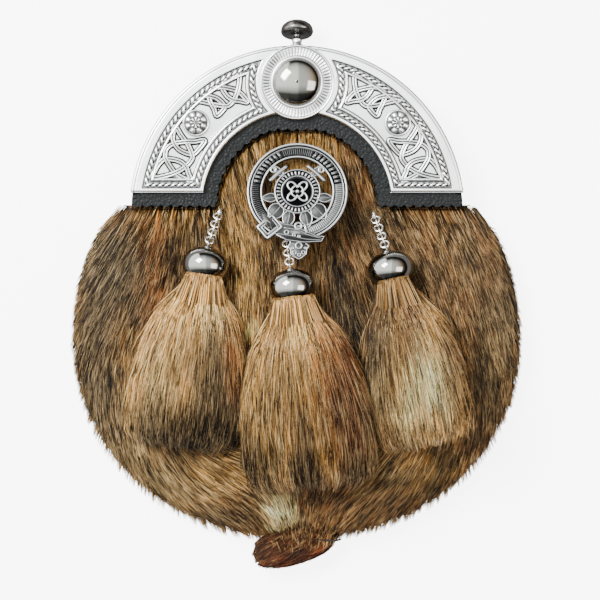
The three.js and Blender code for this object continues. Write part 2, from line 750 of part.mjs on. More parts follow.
// The origin is the middle of the whole object's footprint, on the surface it lies on.
const box = new THREE.Box3().setFromObject(sporran);
sporran.position.set(-(box.min.x + box.max.x) / 2, -(box.min.y + box.max.y) / 2, -box.min.z);

export default sporran;
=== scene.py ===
import math

import bpy
import numpy as np
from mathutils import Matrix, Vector
from mathutils.bvhtree import BVHTree
from mathutils.kdtree import KDTree


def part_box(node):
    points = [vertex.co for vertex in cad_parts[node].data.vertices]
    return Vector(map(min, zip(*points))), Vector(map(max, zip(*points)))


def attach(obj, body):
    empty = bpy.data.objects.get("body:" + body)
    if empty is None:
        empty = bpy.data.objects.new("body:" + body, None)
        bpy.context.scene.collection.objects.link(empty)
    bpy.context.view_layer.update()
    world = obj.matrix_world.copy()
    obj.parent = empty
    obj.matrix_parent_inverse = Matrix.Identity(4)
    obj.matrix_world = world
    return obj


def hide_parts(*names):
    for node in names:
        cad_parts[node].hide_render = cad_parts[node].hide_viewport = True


# The looks of a full-dress sporran that lies on its back. Sizes are millimetres in the CAD source's own
# drawing frame, unless a comment says otherwise.

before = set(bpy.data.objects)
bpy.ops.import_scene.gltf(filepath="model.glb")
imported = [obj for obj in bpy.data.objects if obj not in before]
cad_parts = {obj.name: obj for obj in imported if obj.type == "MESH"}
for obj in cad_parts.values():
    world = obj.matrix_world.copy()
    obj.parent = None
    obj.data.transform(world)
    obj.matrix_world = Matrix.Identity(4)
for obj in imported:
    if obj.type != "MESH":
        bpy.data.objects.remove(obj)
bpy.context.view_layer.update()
random = np.random.default_rng(11)

MM = 0.001
UP = np.array([0.0, 0.0, 1.0])


def box_mm(node):
    """A CAD node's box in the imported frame, in millimetres."""
    low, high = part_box(node)
    return np.array(low) / MM, np.array(high) / MM


BOSS = {"x": 46.5, "y": 79.7, "radius": 6.2, "height": 2.6}
SHIFT_Y = sum(corner[1] for corner in box_mm("boss_left")) / 2 - BOSS["y"]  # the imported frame's own origin


def placed(points):
    """Points of the drawing frame, in millimetres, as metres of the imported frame."""
    return (np.asarray(points, float) + [0, SHIFT_Y, 0]) * MM


def drawn(points):
    """The other way round from placed()."""
    return np.asarray(points, float) / MM - [0, SHIFT_Y, 0]


def added(name, data):
    """A new object in the scene."""
    thing = bpy.data.objects.new(name, data)
    bpy.context.scene.collection.objects.link(thing)
    return thing


# ---- The camera, straight above ----

VIEW_MM = 276  # width of the view
VIEW_CENTRE = (1.38, -1.84)
CAMERA_HEIGHT = 1.5
SHARP_Z = 0.02  # the height at which the view has that width
SENSOR_MM = 36

camera = added("camera", bpy.data.cameras.new("camera"))
bpy.context.scene.camera = camera
camera.location = placed([*VIEW_CENTRE, 0])
camera.location.z = CAMERA_HEIGHT
camera.data.sensor_width = SENSOR_MM
camera.data.lens = SENSOR_MM * (CAMERA_HEIGHT - SHARP_Z) / (VIEW_MM * MM)


# ---- Mesh building ----

def grid_faces(rows, columns, wrap_rows=False, wrap_columns=False):
    """Quads of a grid of points that is stored row by row."""
    i = np.arange(rows if wrap_rows else rows - 1)
    j = np.arange(columns if wrap_columns else columns - 1)
    i, j = (a.ravel() for a in np.meshgrid(i, j, indexing="ij"))
    i2, j2 = (i + 1) % rows, (j + 1) % columns
    return np.stack([i * columns + j, i2 * columns + j, i2 * columns + j2, i * columns + j2], 1)


def end_caps(rows, columns):
    """A face for the first row of such a grid, and one for its last."""
    first = np.arange(columns)[None]
    return [first, (rows - 1) * columns + first[:, ::-1]]


def make_mesh(name, points, faces):
    """A smooth mesh object from points in drawing millimetres and a list of arrays of faces."""
    sizes = np.concatenate([np.full(len(f), f.shape[1]) for f in faces])
    corners = np.concatenate([f.ravel() for f in faces])
    mesh = bpy.data.meshes.new(name)
    mesh.vertices.add(len(points))
    mesh.vertices.foreach_set("co", placed(points).astype(np.float32).ravel())
    mesh.loops.add(len(corners))
    mesh.loops.foreach_set("vertex_index", corners.astype(np.int32))
    mesh.polygons.add(len(sizes))
    mesh.polygons.foreach_set("loop_start", (np.cumsum(sizes) - sizes).astype(np.int32))
    mesh.update(calc_edges=True)
    mesh.validate()
    mesh.polygons.foreach_set("use_smooth", np.ones(len(mesh.polygons), bool))
    return added(name, mesh)


def finish_piece(piece, material, replaced=(), body="pouch"):
    """Gives a piece its material, body and slot, and hides the CAD nodes that it stands for."""
    piece.data.materials.clear()
    piece.data.materials.append(material)
    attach(piece, body)
    if replaced:
        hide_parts(*replaced)
    return piece


class Shapes:
    """Several forms gathered into one mesh, each with a value from 0, recessed and darkened with painted
    shade, to 1, polished.
    """

    def __init__(self):
        self.points, self.faces, self.shades, self.count = [], [], [], 0

    def add(self, points, faces, shade=1.0):
        points = np.asarray(points, float).reshape(-1, 3)
        self.faces += [f + self.count for f in faces]
        self.points.append(points)
        self.shades.append(np.broadcast_to(np.asarray(shade, float).ravel(), len(points)).copy())
        self.count += len(points)

    def piece(self, name):
        by_size = {}
        for f in self.faces:
            by_size.setdefault(f.shape[1], []).append(f)
        piece = make_mesh(name, np.concatenate(self.points), [np.concatenate(f) for f in by_size.values()])
        # The value becomes the relief attribute, from which the metal paints shade into the recesses.
        relief = piece.data.attributes.new("relief", "FLOAT", "POINT")
        relief.data.foreach_set("value", np.concatenate(self.shades).astype(np.float32))
        return piece


def one_form(name, points, faces, shade=1.0):
    """A piece that is a single form."""
    shapes = Shapes()
    shapes.add(points, faces, shade)
    return shapes.piece(name)


def unit(vectors):
    """Each vector with a length of 1."""
    vectors = np.asarray(vectors, float)
    return vectors / np.maximum(np.linalg.norm(vectors, axis=-1, keepdims=True), 1e-9)


def sweep(path, sections, closed=False, up=UP):
    """A tube along a path. A section is a loop of (across, up) points, the same all along or one a step."""
    path = np.asarray(path, float)
    sections = np.asarray(sections, float)
    if sections.ndim == 2:
        sections = np.broadcast_to(sections, (len(path), *sections.shape))
    if closed:
        along = np.roll(path, -1, 0) - np.roll(path, 1, 0)
    else:
        along = np.gradient(path, axis=0)
    across = unit(np.cross(along, up))
    normal = unit(np.cross(across, along))
    points = path[:, None] + across[:, None] * sections[..., :1] + normal[:, None] * sections[..., 1:]
    rows, columns = sections.shape[:2]
    faces = [grid_faces(rows, columns, closed, True)]
    if not closed:
        faces += end_caps(rows, columns)
    return points.reshape(-1, 3), faces


def circle(radius, steps):
    """Points round a circle, in its plane."""
    angle = np.arange(steps) * 2 * np.pi / steps
    return np.stack([radius * np.cos(angle), radius * np.sin(angle)], 1)


def lathe(profile, centre, axis, steps):
    """A closed profile of (radius, height) points, turned about an axis."""
    profile = np.asarray(profile, float)
    axis = unit(axis)
    side = unit(np.cross(axis, [0.3, 1, 0.2] if abs(axis[1]) < 0.9 else [1, 0, 0]))
    other = np.cross(axis, side)
    angle = np.arange(steps) * 2 * np.pi / steps
    ring = np.cos(angle)[:, None] * side + np.sin(angle)[:, None] * other
    points = ring[:, None] * profile[None, :, :1] + axis * profile[None, :, 1:]
    points = points.reshape(-1, 3) + np.asarray(centre, float)
    return points, [grid_faces(steps, len(profile), True, True)]


def catmull_rom(points, steps):
    """A smooth curve from the second of its points up to the last but one."""
    t = np.arange(steps)[:, None] / steps
    spans = []
    for a, b, c, d in zip(points, points[1:], points[2:], points[3:]):
        spans.append(0.5 * (2 * b + (c - a) * t + (2 * a - 5 * b + 4 * c - d) * t**2
                            + (3 * b - a - 3 * c + d) * t**3))
    return np.concatenate(spans)


def smooth_profile(points, steps):
    """A smooth open curve through points."""
    points = np.asarray(points, float)
    before, after = 2 * points[0] - points[1], 2 * points[-1] - points[-2]
    return np.concatenate([catmull_rom(np.concatenate([[before], points, [after]]), steps), points[-1:]])


def smooth_loop(points, steps):
    """A smooth closed curve through points."""
    points = np.asarray(points, float)
    return catmull_rom(np.concatenate([points[-1:], points, points[:2]]), steps)


def lean_direction(degrees):
    """A direction in the front plane, turned from straight down by so many degrees to the right."""
    turn = np.radians(degrees)
    return np.stack([np.sin(turn), -np.cos(turn)], -1)


def quarter_turned(direction):
    """The direction that points to the right of one that points down."""
    return np.array([-direction[1], direction[0]])


# ---- Materials ----

NOISE_SPREAD = 0.3, 0.7  # most of a noise's values lie between these


def linear(hexadecimal):
    """A colour written as it shows on a screen, in linear light."""
    value = [int(hexadecimal[i : i + 2], 16) / 255 for i in (0, 2, 4)]
    return np.array([v / 12.92 if v <= 0.04045 else ((v + 0.055) / 1.055) ** 2.4 for v in value])


class Surface:
    """A material with a Principled shader, and short ways to add nodes to it."""

    def __init__(self, name, **constants):
        self.material = bpy.data.materials.new(name)
        self.material.use_nodes = True
        self.tree = self.material.node_tree
        self.shader = self.tree.nodes["Principled BSDF"]
        for socket, value in constants.items():
            self.shader.inputs[socket.replace("_", " ")].default_value = value

    def node(self, kind, inputs=None, **settings):
        """A new shader node. Inputs go by name or number."""
        node = self.tree.nodes.new("ShaderNode" + kind)
        for key, value in settings.items():
            setattr(node, key, value)
        for key, value in (inputs or {}).items():
            self.put(value, node.inputs[key])
        return node

    def put(self, value, socket):
        """Links a socket into another one, or sets its value."""
        if isinstance(value, bpy.types.NodeSocket):
            self.tree.links.new(value, socket)
        else:
            socket.default_value = value

    def value(self, name):
        return self.node("Attribute", attribute_name=name).outputs["Fac"]

    def colour_of(self, name):
        return self.node("Attribute", attribute_name=name).outputs["Color"]

    def place(self):
        return self.node("TexCoord").outputs["Object"]

    def noise(self, scale, detail=4.0, vector=None):
        return self.node("TexNoise", {"Vector": vector or self.place(), "Scale": scale, "Detail": detail,
                                      "Roughness": 0.55}).outputs["Fac"]

    def ranged(self, value, low, high, to_low, to_high):
        return self.node("MapRange", {"Value": value, "From Min": low, "From Max": high,
                                      "To Min": to_low, "To Max": to_high}).outputs["Result"]

    def spread(self, noise, low, high):
        """A noise, stretched to run from low to high."""
        return self.ranged(noise, *NOISE_SPREAD, low, high)

    def streaks(self, scale, detail, share):
        """Noise drawn out along y, to a share of its scale."""
        drawn_out = self.node("Mapping", {"Vector": self.place(), "Scale": (1.0, share, 1.0)})
        return self.noise(scale, detail, vector=drawn_out.outputs[0])

    def maths(self, operation, a, b):
        return self.node("Math", {0: a, 1: b}, operation=operation).outputs[0]

    def mixed(self, factor, a, b, blend="MIX"):
        """Two colours mixed. A mix node's colour sockets are its 6th and 7th."""
        node = self.node("Mix", data_type="RGBA", blend_type=blend)
        for index, value in ((0, factor), (6, a), (7, b)):
            self.put(value, node.inputs[index])
        return node.outputs[2]

    def bump(self, height, strength, distance, over=None):
        """A bumped normal, on top of another bump where one is given."""
        inputs = {"Height": height, "Strength": strength, "Distance": distance}
        if over:
            inputs["Normal"] = over
        return self.node("Bump", inputs).outputs["Normal"]

    def finish(self, **sockets):
        """Sets the shader's inputs and gives the material."""
        for socket, value in sockets.items():
            self.put(value, self.shader.inputs[socket.replace("_", " ")])
        return self.material


def opaque(hexadecimal):
    return (*linear(hexadecimal), 1.0)


def metal(name, dark, light, dull, polished, scratch=0.25, relief=True, waves=0.0, darkening=1.0):
    """Metal whose colour is darkened in its recesses, painted shade standing in for ambient occlusion on top
    of the tarnish there, and polished on its high places, with fine scratches. Waves, in metres, are the
    depth of the slow unevenness of pressed sheet."""
    s = Surface(name, Metallic=1.0)
    cloud = s.noise(45.0)
    # Low relief darkens the base colour: painted shade in the recesses.
    height = s.maths("POWER", s.value("relief"), darkening) if relief else 1.0
    shine_and_shade = s.maths("MULTIPLY", s.spread(cloud, 0.88, 1.0), height)
    scratches = s.streaks(900.0, 2.0, 0.18)
    rough = s.ranged(shine_and_shade, 0.0, 1.0, dull, polished)
    normal = s.bump(scratches, scratch, 0.00002)
    if waves:
        normal = s.bump(s.noise(38.0, 1.0), 1.0, waves, normal)
    return s.finish(
        Base_Color=s.mixed(shine_and_shade, opaque(dark), opaque(light)),
        Roughness=s.maths("ADD", rough, s.ranged(scratches, 0.35, 0.65, 0.0, 0.05)),
        Normal=normal,
    )


def leather(name, dark, light, grain_scale=800.0, roughness=(0.34, 0.5)):
    """Grained leather: small cells with worn tops, and soft creases."""
    s = Surface(name, Specular_IOR_Level=0.16)
    wobble = s.noise(120.0)
    grain = s.node("TexVoronoi", {"Vector": s.place(), "Scale": grain_scale}, feature="F1")
    cells = grain.outputs["Distance"]
    creases = s.noise(260.0, 5.0)
    worn = s.maths("MULTIPLY", s.ranged(cells, 0.0, 0.6, 1.0, 0.2), s.ranged(wobble, 0.3, 0.75, 0.5, 1.0))
    height = s.maths("ADD", s.ranged(cells, 0.0, 0.7, 1.0, 0.0), s.spread(creases, 0.0, 0.8))
    return s.finish(
        Base_Color=s.mixed(worn, opaque(dark), opaque(light)),
        Roughness=s.spread(creases, *roughness),
        Normal=s.bump(height, 0.8, 0.0002),
    )


def fur(name):
    """Hair, whose colour is the strand's own, with mottling finer than a strand."""
    s = Surface(name, Specular_IOR_Level=0.12)
    mottle = s.noise(700.0, 3.0)
    grey = s.node("CombineColor", dict.fromkeys(("Red", "Green", "Blue"), s.spread(mottle, 0.82, 1.16)))
    return s.finish(
        Base_Color=s.mixed(1.0, s.colour_of("hair_colour"), grey.outputs[0], "MULTIPLY"),
        Roughness=s.spread(mottle, 0.45, 0.65),
        Normal=s.bump(mottle, 0.2, 0.00003),
    )


def hide(name, dark, light):
    """Dense underfur on the skin, below the long hairs."""
    s = Surface(name)
    combed = s.streaks(420.0, 5.0, 0.2)
    return s.finish(
        Base_Color=s.mixed(s.spread(combed, 0.0, 1.0), opaque(dark), opaque(light)),
        Roughness=s.spread(combed, 0.8, 0.98),
        Normal=s.bump(combed, 0.8, 0.0006),
    )


SILVER = metal("silver", "08090a", "fbfcfc", 0.5, 0.2, waves=0.0014, darkening=1.5)
NICKEL = metal("nickel", "1c1a18", "868480", 0.3, 0.06, 0.1, waves=0.0002)
PEWTER = metal("pewter", "040405", "a2a3a4", 0.5, 0.26, 0.4)
CHAIN_METAL = metal("chain_metal", "6a6864", "e6e4df", 0.3, 0.12)
STEEL = metal("strap_steel", "4a4846", "c8c5c0", 0.3, 0.16, relief=False)
BLACK_LEATHER = leather("black_leather", "020304", "0d1112")
BACK_LEATHER = leather("back_leather", "0d0c0b", "24211e", 520.0, (0.4, 0.62))
COAT = fur("coat_hair")
TASSEL_COAT = fur("tassel_hair")
HIDE = hide("hide", "120b06", "4a3520")
TASSEL_HIDE = hide("tassel_hide", "1c120a", "5a4026")


# ---- The cantle: an engraved half ring ----

CANTLE = {"outer": 77.3, "outer_y": 38.2, "inner": 43.5, "inner_y": 41.4, "leg_y": 47.8,
          "back": 8.0, "front": 18.0, "wall": 2.0, "plate": 2.0, "edge": 16.8, "breadth": 33.7}
PLATE_BACK = CANTLE["front"] - CANTLE["plate"]
# The leather lip: how far it shows past the cantle's feet, its arch's radius, and where its legs end.
LIP = {"reach": 6.3, "radius": 37.2, "leg_x": 74.0}
ROUNDEL = {"y": 98.5, "radius": 17.3, "dome": 10.9, "dome_height": 5.0}
# How far the middle of the rope border lies inside each edge of the half ring.
ROPE_INSET = {"outer": 6.6, "inner": 3.5, "leg": 3.5, "roundel": 3.4}
# Across a border, counted inwards from the middle of its rope: heights above the front, and the polish,
# darkened with painted shade in the grooves beside the rope and at the foot of the step down to the panel.
BORDER_U = [-99, -1.75, -1.5, 1.4, 1.65, 1.9, 2.1, 2.7, 2.9, 3.25, 99]
BORDER_Z = [0.35, 0.35, -0.35, -0.35, 0.15, 0.15, 0.4, 0.4, 0.1, -0.8, -0.8]
POLISH_AND_SHADE_U = [-99, -1.95, -1.6, -1.2, 1.2, 1.6, 1.95, 2.1, 2.7, 2.85, 3.1, 3.5, 99]
POLISH_AND_SHADE = [1.0, 1.0, 0.05, 0.35, 0.35, 0.1, 0.75, 1.0, 1.0, 0.3, 0.15, 0.82, 0.9]


def cantle_edges(x, y):
    """How far a point lies inside each edge of the half ring, and outside the roundel."""
    outer = CANTLE["outer"] - np.hypot(x, y - CANTLE["outer_y"])
    inner = np.hypot(x, y - CANTLE["inner_y"]) - CANTLE["inner"]
    roundel = np.hypot(x, y - ROUNDEL["y"]) - ROUNDEL["radius"]
    return {"outer": outer, "inner": inner, "leg": y - CANTLE["leg_y"], "roundel": roundel}


def cantle_relief(x, y):
    """The front's height, and its polish with painted shade in its grooves."""
    edges = cantle_edges(x, y)
    inside = np.minimum.reduce([edges[k] - ROPE_INSET[k] for k in ROPE_INSET])
    from_edge = np.minimum.reduce([edges[k] for k in ("outer", "inner", "leg")])
    rounded = 0.7 * np.clip(1 - from_edge / 0.9, 0, 1) ** 2
    edge_line = np.exp(-(((edges["outer"] - 1.5) / 0.22) ** 2))
    height = CANTLE["front"] + np.interp(inside, BORDER_U, BORDER_Z) - rounded - 0.2 * edge_line
    # The groove near the outer edge is darkened: painted shade.
    polish_and_shade = np.interp(inside, POLISH_AND_SHADE_U, POLISH_AND_SHADE) * (1 - 0.75 * edge_line)
    return height, polish_and_shade


def spaced(stops, pitches):
    """Places from the first stop to the last, with a pitch of their own in each stretch."""
    out = [stops[0]]
    for a, b, pitch in zip(stops, stops[1:], pitches):
        out += list(np.linspace(a, b, max(int(round(abs(b - a) / pitch)), 1) + 1)[1:])
    return np.array(out)


def foot_angle(edge):
    """The angle, from the right, at which the outer or the inner edge of the half ring starts."""
    return math.asin((CANTLE["leg_y"] - CANTLE[edge + "_y"]) / CANTLE[edge])


def edge_points(edge, shares):
    """Points of an edge of the half ring, at shares of the way from the right foot to the left one."""
    foot = foot_angle(edge)
    a = foot + shares * (math.pi - 2 * foot)
    return np.stack([CANTLE[edge] * np.cos(a), CANTLE[edge + "_y"] + CANTLE[edge] * np.sin(a)], 1)


def cantle_rows():
    """The section of the half ring as a loop of rows, each a line of points all along the ring with their
    polish and painted shade. The grid is finer at the feet, at the roundel and along both borders."""
    length = CANTLE["outer"] * (math.pi - 2 * foot_angle("outer"))
    middle = length / 2
    stops = [0, 9, middle - 34, middle + 34, length - 9, length]
    shares = spaced(stops, [0.3, 0.9, 0.45, 0.9, 0.3]) / length
    across = spaced([0, 12, 25, CANTLE["breadth"]], [0.27, 1.1, 0.27]) / CANTLE["breadth"]
    outer, inner = edge_points("outer", shares), edge_points("inner", shares)

    def row(t, z=None):
        """The points at one share of the way across, on the relief or at a height."""
        flat = outer + (inner - outer) * t
        if z is None:
            height, polish_and_shade = cantle_relief(flat[:, 0], flat[:, 1])
            return np.column_stack([flat, height]), polish_and_shade
        return np.column_stack([flat, np.full(len(flat), z)]), np.full(len(flat), 0.8)

    wall = CANTLE["wall"] / CANTLE["breadth"]
    return [row(0, CANTLE["back"]), row(0, 12.5), row(0, CANTLE["edge"]), *(row(t) for t in across),
            row(1, CANTLE["edge"]), row(1, PLATE_BACK), row(wall, PLATE_BACK), row(wall, CANTLE["back"])]


def leg_ends(shapes):
    """A plate that closes the end of each leg."""
    ends = np.array([0.0, 1.0])
    for x0, x1 in zip(edge_points("outer", ends)[:, 0], edge_points("inner", ends)[:, 0]):
        corners = [(x0, CANTLE["back"]), (x1, CANTLE["back"]), (x1, PLATE_BACK), (x0, PLATE_BACK)]
        low = [(x, CANTLE["leg_y"], z) for x, z in corners]
        high = [(x, CANTLE["leg_y"] + CANTLE["wall"], z) for x, z in corners]
        shapes.add(low + high, [grid_faces(2, 4, False, True), np.array([[0, 1, 2, 3], [7, 6, 5, 4]])], 0.8)


def cantle_shell():
    """The half ring's front in relief, with its side wall, and a plate at the end of each leg."""
    loop = cantle_rows()
    points = np.stack([p for p, _ in loop], 1)
    polish_and_shade = np.stack([v for _, v in loop], 1)
    rows, columns = polish_and_shade.shape
    faces = [grid_faces(rows, columns, False, True), *(f[:, ::-1] for f in end_caps(rows, columns))]
    shapes = Shapes()
    shapes.add(points, faces, polish_and_shade)
    leg_ends(shapes)
    return shapes.piece("cantle_face")


def circles_meet(y1, r1, y2, r2):
    """Where two circles centred on the middle line meet, on its right."""
    y = (r1**2 - r2**2 + y2**2 - y1**2) / (2 * (y2 - y1))
    return np.array([math.sqrt(r1**2 - (y - y1) ** 2), y])


def arc(centre_y, start, end, pitch):
    """An arc about a centre on the middle line, between two points of it."""
    a0, a1 = (math.atan2(p[1] - centre_y, p[0]) for p in (start, end))
    radius = math.hypot(start[0], start[1] - centre_y)
    steps = max(int(radius * abs(a1 - a0) / pitch), 2)
    angle = np.linspace(a0, a1, steps + 1)[:-1]
    return np.stack([radius * np.cos(angle), centre_y + radius * np.sin(angle)], 1)


ROPE = {"radius": 0.78, "waist": 0.42, "bead": 1.45, "steps": 6, "sides": 8, "z": 17.85}


def rope_route(pitch):
    """The closed route of the right side's rope border."""
    outer_y, inner_y = CANTLE["outer_y"], CANTLE["inner_y"]
    outer_r = CANTLE["outer"] - ROPE_INSET["outer"]
    inner_r = CANTLE["inner"] + ROPE_INSET["inner"]
    foot_y = CANTLE["leg_y"] + ROPE_INSET["leg"]
    foot_outer = (math.sqrt(outer_r**2 - (foot_y - outer_y) ** 2), foot_y)
    foot_inner = (math.sqrt(inner_r**2 - (foot_y - inner_y) ** 2), foot_y)
    roundel_r = ROUNDEL["radius"] + ROPE_INSET["roundel"]
    top_outer = circles_meet(outer_y, outer_r, ROUNDEL["y"], roundel_r)
    top_inner = circles_meet(inner_y, inner_r, ROUNDEL["y"], roundel_r)
    count = max(int((foot_outer[0] - foot_inner[0]) / pitch), 2)
    foot = np.linspace(foot_inner, foot_outer, count + 1)[:-1]
    return np.concatenate([arc(outer_y, foot_outer, top_outer, pitch),
                           arc(ROUNDEL["y"], top_outer, top_inner, pitch),
                           arc(inner_y, top_inner, foot_inner, pitch), foot])


def rope_borders():
    """Twisted rope mouldings: an oval section that turns half round for each bead."""
    shapes = Shapes()
    flat = rope_route(ROPE["bead"] / ROPE["steps"])
    path = np.column_stack([flat, np.full(len(flat), ROPE["z"])])
    turn = np.pi * np.arange(len(path)) / ROPE["steps"]
    angle = np.arange(ROPE["sides"]) * 2 * np.pi / ROPE["sides"]
    swell = np.cos(2 * (angle[None] - turn[:, None] / 2))
    radius = ROPE["radius"] * (1 + ROPE["waist"] * swell)
    sections = np.stack([1.25 * radius * np.cos(angle), radius * np.sin(angle)], -1)
    # Painted light and shade: the beads' crests and the rope's upper side are lighter, the waists between
    # beads darker.
    shade = np.clip(0.5 + 0.95 * swell + 0.3 * np.sin(angle)[None], 0.0, 1.0)
    for side in (1, -1):
        points, faces = sweep(path * [side, 1, 1], sections, closed=True)
        shapes.add(points, faces, shade)
    return shapes.piece("cantle_rope_border")


# One endless band makes the knot below each boss. Its points are counted from the boss of the left side;
# level is 1 where the band goes over itself and -1 where it goes under.
KNOT = [
    # x, y, level
    (-9.6, -1.6, 0), (-10.7, -6.1, 0), (-10.0, -9.4, 1), (-7.2, -12.7, 0), (-1.8, -14.5, -1),
    (1.2, -12.3, 0), (4.0, -8.1, 0), (-0.5, -8.6, 0), (-4.6, -8.7, 1), (-10.0, -9.4, -1),
    (-13.4, -11.7, 0), (-14.2, -14.3, 0), (-13.9, -16.6, 1), (-11.9, -20.1, 0), (-9.6, -23.0, -1),
    (-6.1, -25.2, 0), (-2.3, -26.6, 0), (-3.6, -23.0, 0), (-4.7, -20.1, 1), (-7.8, -17.6, 0),
    (-13.9, -16.6, -1), (-16.8, -18.7, 0), (-18.9, -22.0, 0), (-19.9, -25.0, 0), (-15.5, -24.7, 0),
    (-9.6, -23.0, 1), (-4.7, -20.1, -1), (-2.0, -17.0, 0), (-1.8, -14.5, 1), (-3.1, -11.1, 0),
    (-4.6, -8.7, -1), (-7.0, -5.5, 0),
]
# The knot above the boss is the same band, drawn between other corners: the place of its four points.
KNOT_CORNERS = [(-9.6, -1.6), (4.0, -8.1), (-2.3, -26.6), (-19.9, -25.0)]
UPPER_CORNERS = [(-1.6, 10.6), (9.6, 3.4), (23.6, 9.6), (19.7, 23.0)]
BAND = {"half": 1.12, "rise": 0.66, "groove": 0.42, "over": 0.42, "shadow_skirt": 1.5, "floor": 17.24}


def bent(points, corners, new_corners):
    """Points moved as their four corners move, by a bilinear fit."""
    def terms(p):
        p = np.asarray(p, float)
        return np.stack([np.ones(len(p)), p[:, 0], p[:, 1], p[:, 0] * p[:, 1]], 1)
    return terms(points) @ np.linalg.solve(terms(corners), np.asarray(new_corners, float))


def cantle_knots():
    """A grooved band, woven into a knot below each boss and another above it."""
    rise, groove, shadow_skirt = BAND["rise"], BAND["groove"], BAND["shadow_skirt"]
    half_section = [  # across, height, polish, from the shadow skirt on the panel's floor to the groove; the skirt and the groove are dark with painted shade
        (shadow_skirt, 0.0, 0.8), (shadow_skirt * 0.8, 0.0, 0.0), (1.0, 0.05, 0.0), (0.9, rise * 0.72, 0.6),
        (0.6, rise, 1.0), (0.24, rise - groove * 0.2, 0.85), (0.1, rise - groove, 0.12),
    ]
    left = np.array(half_section) * [-BAND["half"], 1, 1]
    right = left[::-1] * [-1, 1, 1]
    under = [(BAND["half"], -0.5, 0.0), (-BAND["half"], -0.5, 0.0)]
    section = np.concatenate([left, right, under])
    table = np.array(KNOT, float)
    shapes = Shapes()
    for corners in (KNOT_CORNERS, UPPER_CORNERS):
        flat = bent(table[:, :2], KNOT_CORNERS, corners)
        route = smooth_loop(np.column_stack([flat + [-BOSS["x"], BOSS["y"]], table[:, 2]]), 12)
        level = BAND["over"] * (route[:, 2] * 0.5 + 0.5)
        route[:, 2] = BAND["floor"]
        sections = np.broadcast_to(section[:, :2], (len(route), len(section), 2)).copy()
        raised = np.abs(section[:, 0]) < BAND["half"] * 0.98
        sections[..., 1] += level[:, None] * raised
        for side in (1, -1):
            points, faces = sweep(route * [side, 1, 1], sections, closed=True)
            shapes.add(points, faces, np.tile(section[:, 2], len(route)))
    return shapes.piece("cantle_knotwork")


def band_of(r, low, high, edge):
    """1 between two radii, falling to 0 over the edge inside them."""
    return np.clip((r - low) / edge, 0, 1) * np.clip((high - r) / edge, 0, 1)


def polar(centre, radii, steps, height_of, base_z):
    """A disc or ring in relief: height_of(radius, angle) gives its top and its polish; its sides darken
    towards their foot with painted shade.
    """
    angle = np.arange(steps) * 2 * np.pi / steps
    r, a = np.meshgrid(radii, angle)
    z, shade = height_of(r, a)
    top = np.stack([centre[0] + r * np.cos(a), centre[1] + r * np.sin(a), z], -1)
    rim = [(r[:, -1], base_z), (r[:, 0], base_z)]
    under = [np.stack([centre[0] + q * np.cos(angle), centre[1] + q * np.sin(angle), np.full(steps, h)], -1)
             for q, h in rim]
    points = np.concatenate([top, under[0][:, None], under[1][:, None]], 1)
    shades = np.concatenate([shade, np.full((steps, 2), 0.3)], 1)
    return points.reshape(-1, 3), [grid_faces(steps, points.shape[1], True, True)[:, ::-1]], shades


def roundel():
    """The fluted ring round the centre dome."""
    flutes = 64

    def height_of(r, a):
        ring = np.interp(r, [10.4, 11.0, 11.3, 11.9, 12.15, 12.4, 15.9, 16.1, 16.35, 16.9, 17.3],
                         [18.2, 18.9, 19.2, 19.1, 18.6, 18.75, 18.75, 18.6, 19.1, 19.2, 18.4])
        band = band_of(r, 12.3, 15.9, 0.4)
        wave = 0.5 + 0.5 * np.cos(flutes * a)
        uneven = 0.75 + 0.25 * np.sin(3 * a + 1.0) * np.cos(5 * a)
        z = ring - 0.42 * band * uneven * (1 - wave) ** 1.5
        # Painted shade: dark in the fine grooves between the rings and down each flute.
        lines = np.interp(r, [10.4, 11.0, 12.0, 12.2, 12.45, 15.8, 16.1, 16.4, 17.0, 17.3],
                          [0.2, 0.9, 1.0, 0.15, 0.85, 0.9, 0.15, 1.0, 1.0, 0.5])
        return z, np.clip(lines - 0.85 * band * uneven * (1 - wave) ** 1.6, 0.0, 1.0)

    radii = spaced([10.4, 12.6, 15.6, 17.3], [0.2, 0.5, 0.17])
    return one_form("cantle_roundel", *polar((0, ROUNDEL["y"]), radii, flutes * 5, height_of, 16.0))


def centre_dome():
    """The plain polished dome in the middle of the roundel."""
    low = box_mm("centre_dome")[0][2]
    height, radius = ROUNDEL["dome_height"], ROUNDEL["dome"]
    angle = np.radians(np.linspace(0, 90, 22))
    profile = [(radius * math.sin(a), low + 0.4 + height * math.cos(a)) for a in angle]
    profile += [(radius, low), (0, low)]
    return one_form("roundel_dome", *lathe(profile, (0, ROUNDEL["y"], 0), UP, 96))


def boss(side_name, side):
    """A rosette in a plain rim: two rings of petals about a small seeded heart."""
    low = box_mm("boss_" + side_name)[0][2]
    radius, height = BOSS["radius"], BOSS["height"]

    def height_of(r, a):
        q = r / radius
        dome = low + 0.4 + (height - 0.5) * np.sqrt(np.clip(1 - (q / 1.02) ** 2, 0, 1))
        outer_petals = np.abs(np.sin(4 * a)) * band_of(q, 0.42, 0.84, 0.1)
        inner_petals = np.abs(np.cos(4 * a)) * band_of(q, 0.16, 0.46, 0.08)
        seeds = 0.5 * (1 + np.cos(9 * a) * np.cos(22 * q)) * (q < 0.18)
        petals = np.clip(outer_petals + inner_petals + seeds, 0, 1)
        rim = np.exp(-(((q - 0.93) / 0.045) ** 2))
        z = dome - 0.55 + 0.65 * petals + 0.75 * rim
        # Painted shade: dark on the ground between the petals, bright on petals and rim.
        return z, np.clip(0.12 + 0.9 * petals**1.5 + 1.2 * rim, 0, 1)

    disc = polar((side * BOSS["x"], BOSS["y"]), np.linspace(0.02, radius, 30), 96, height_of, low)
    return one_form(f"boss_{side_name}_rosette", *disc)


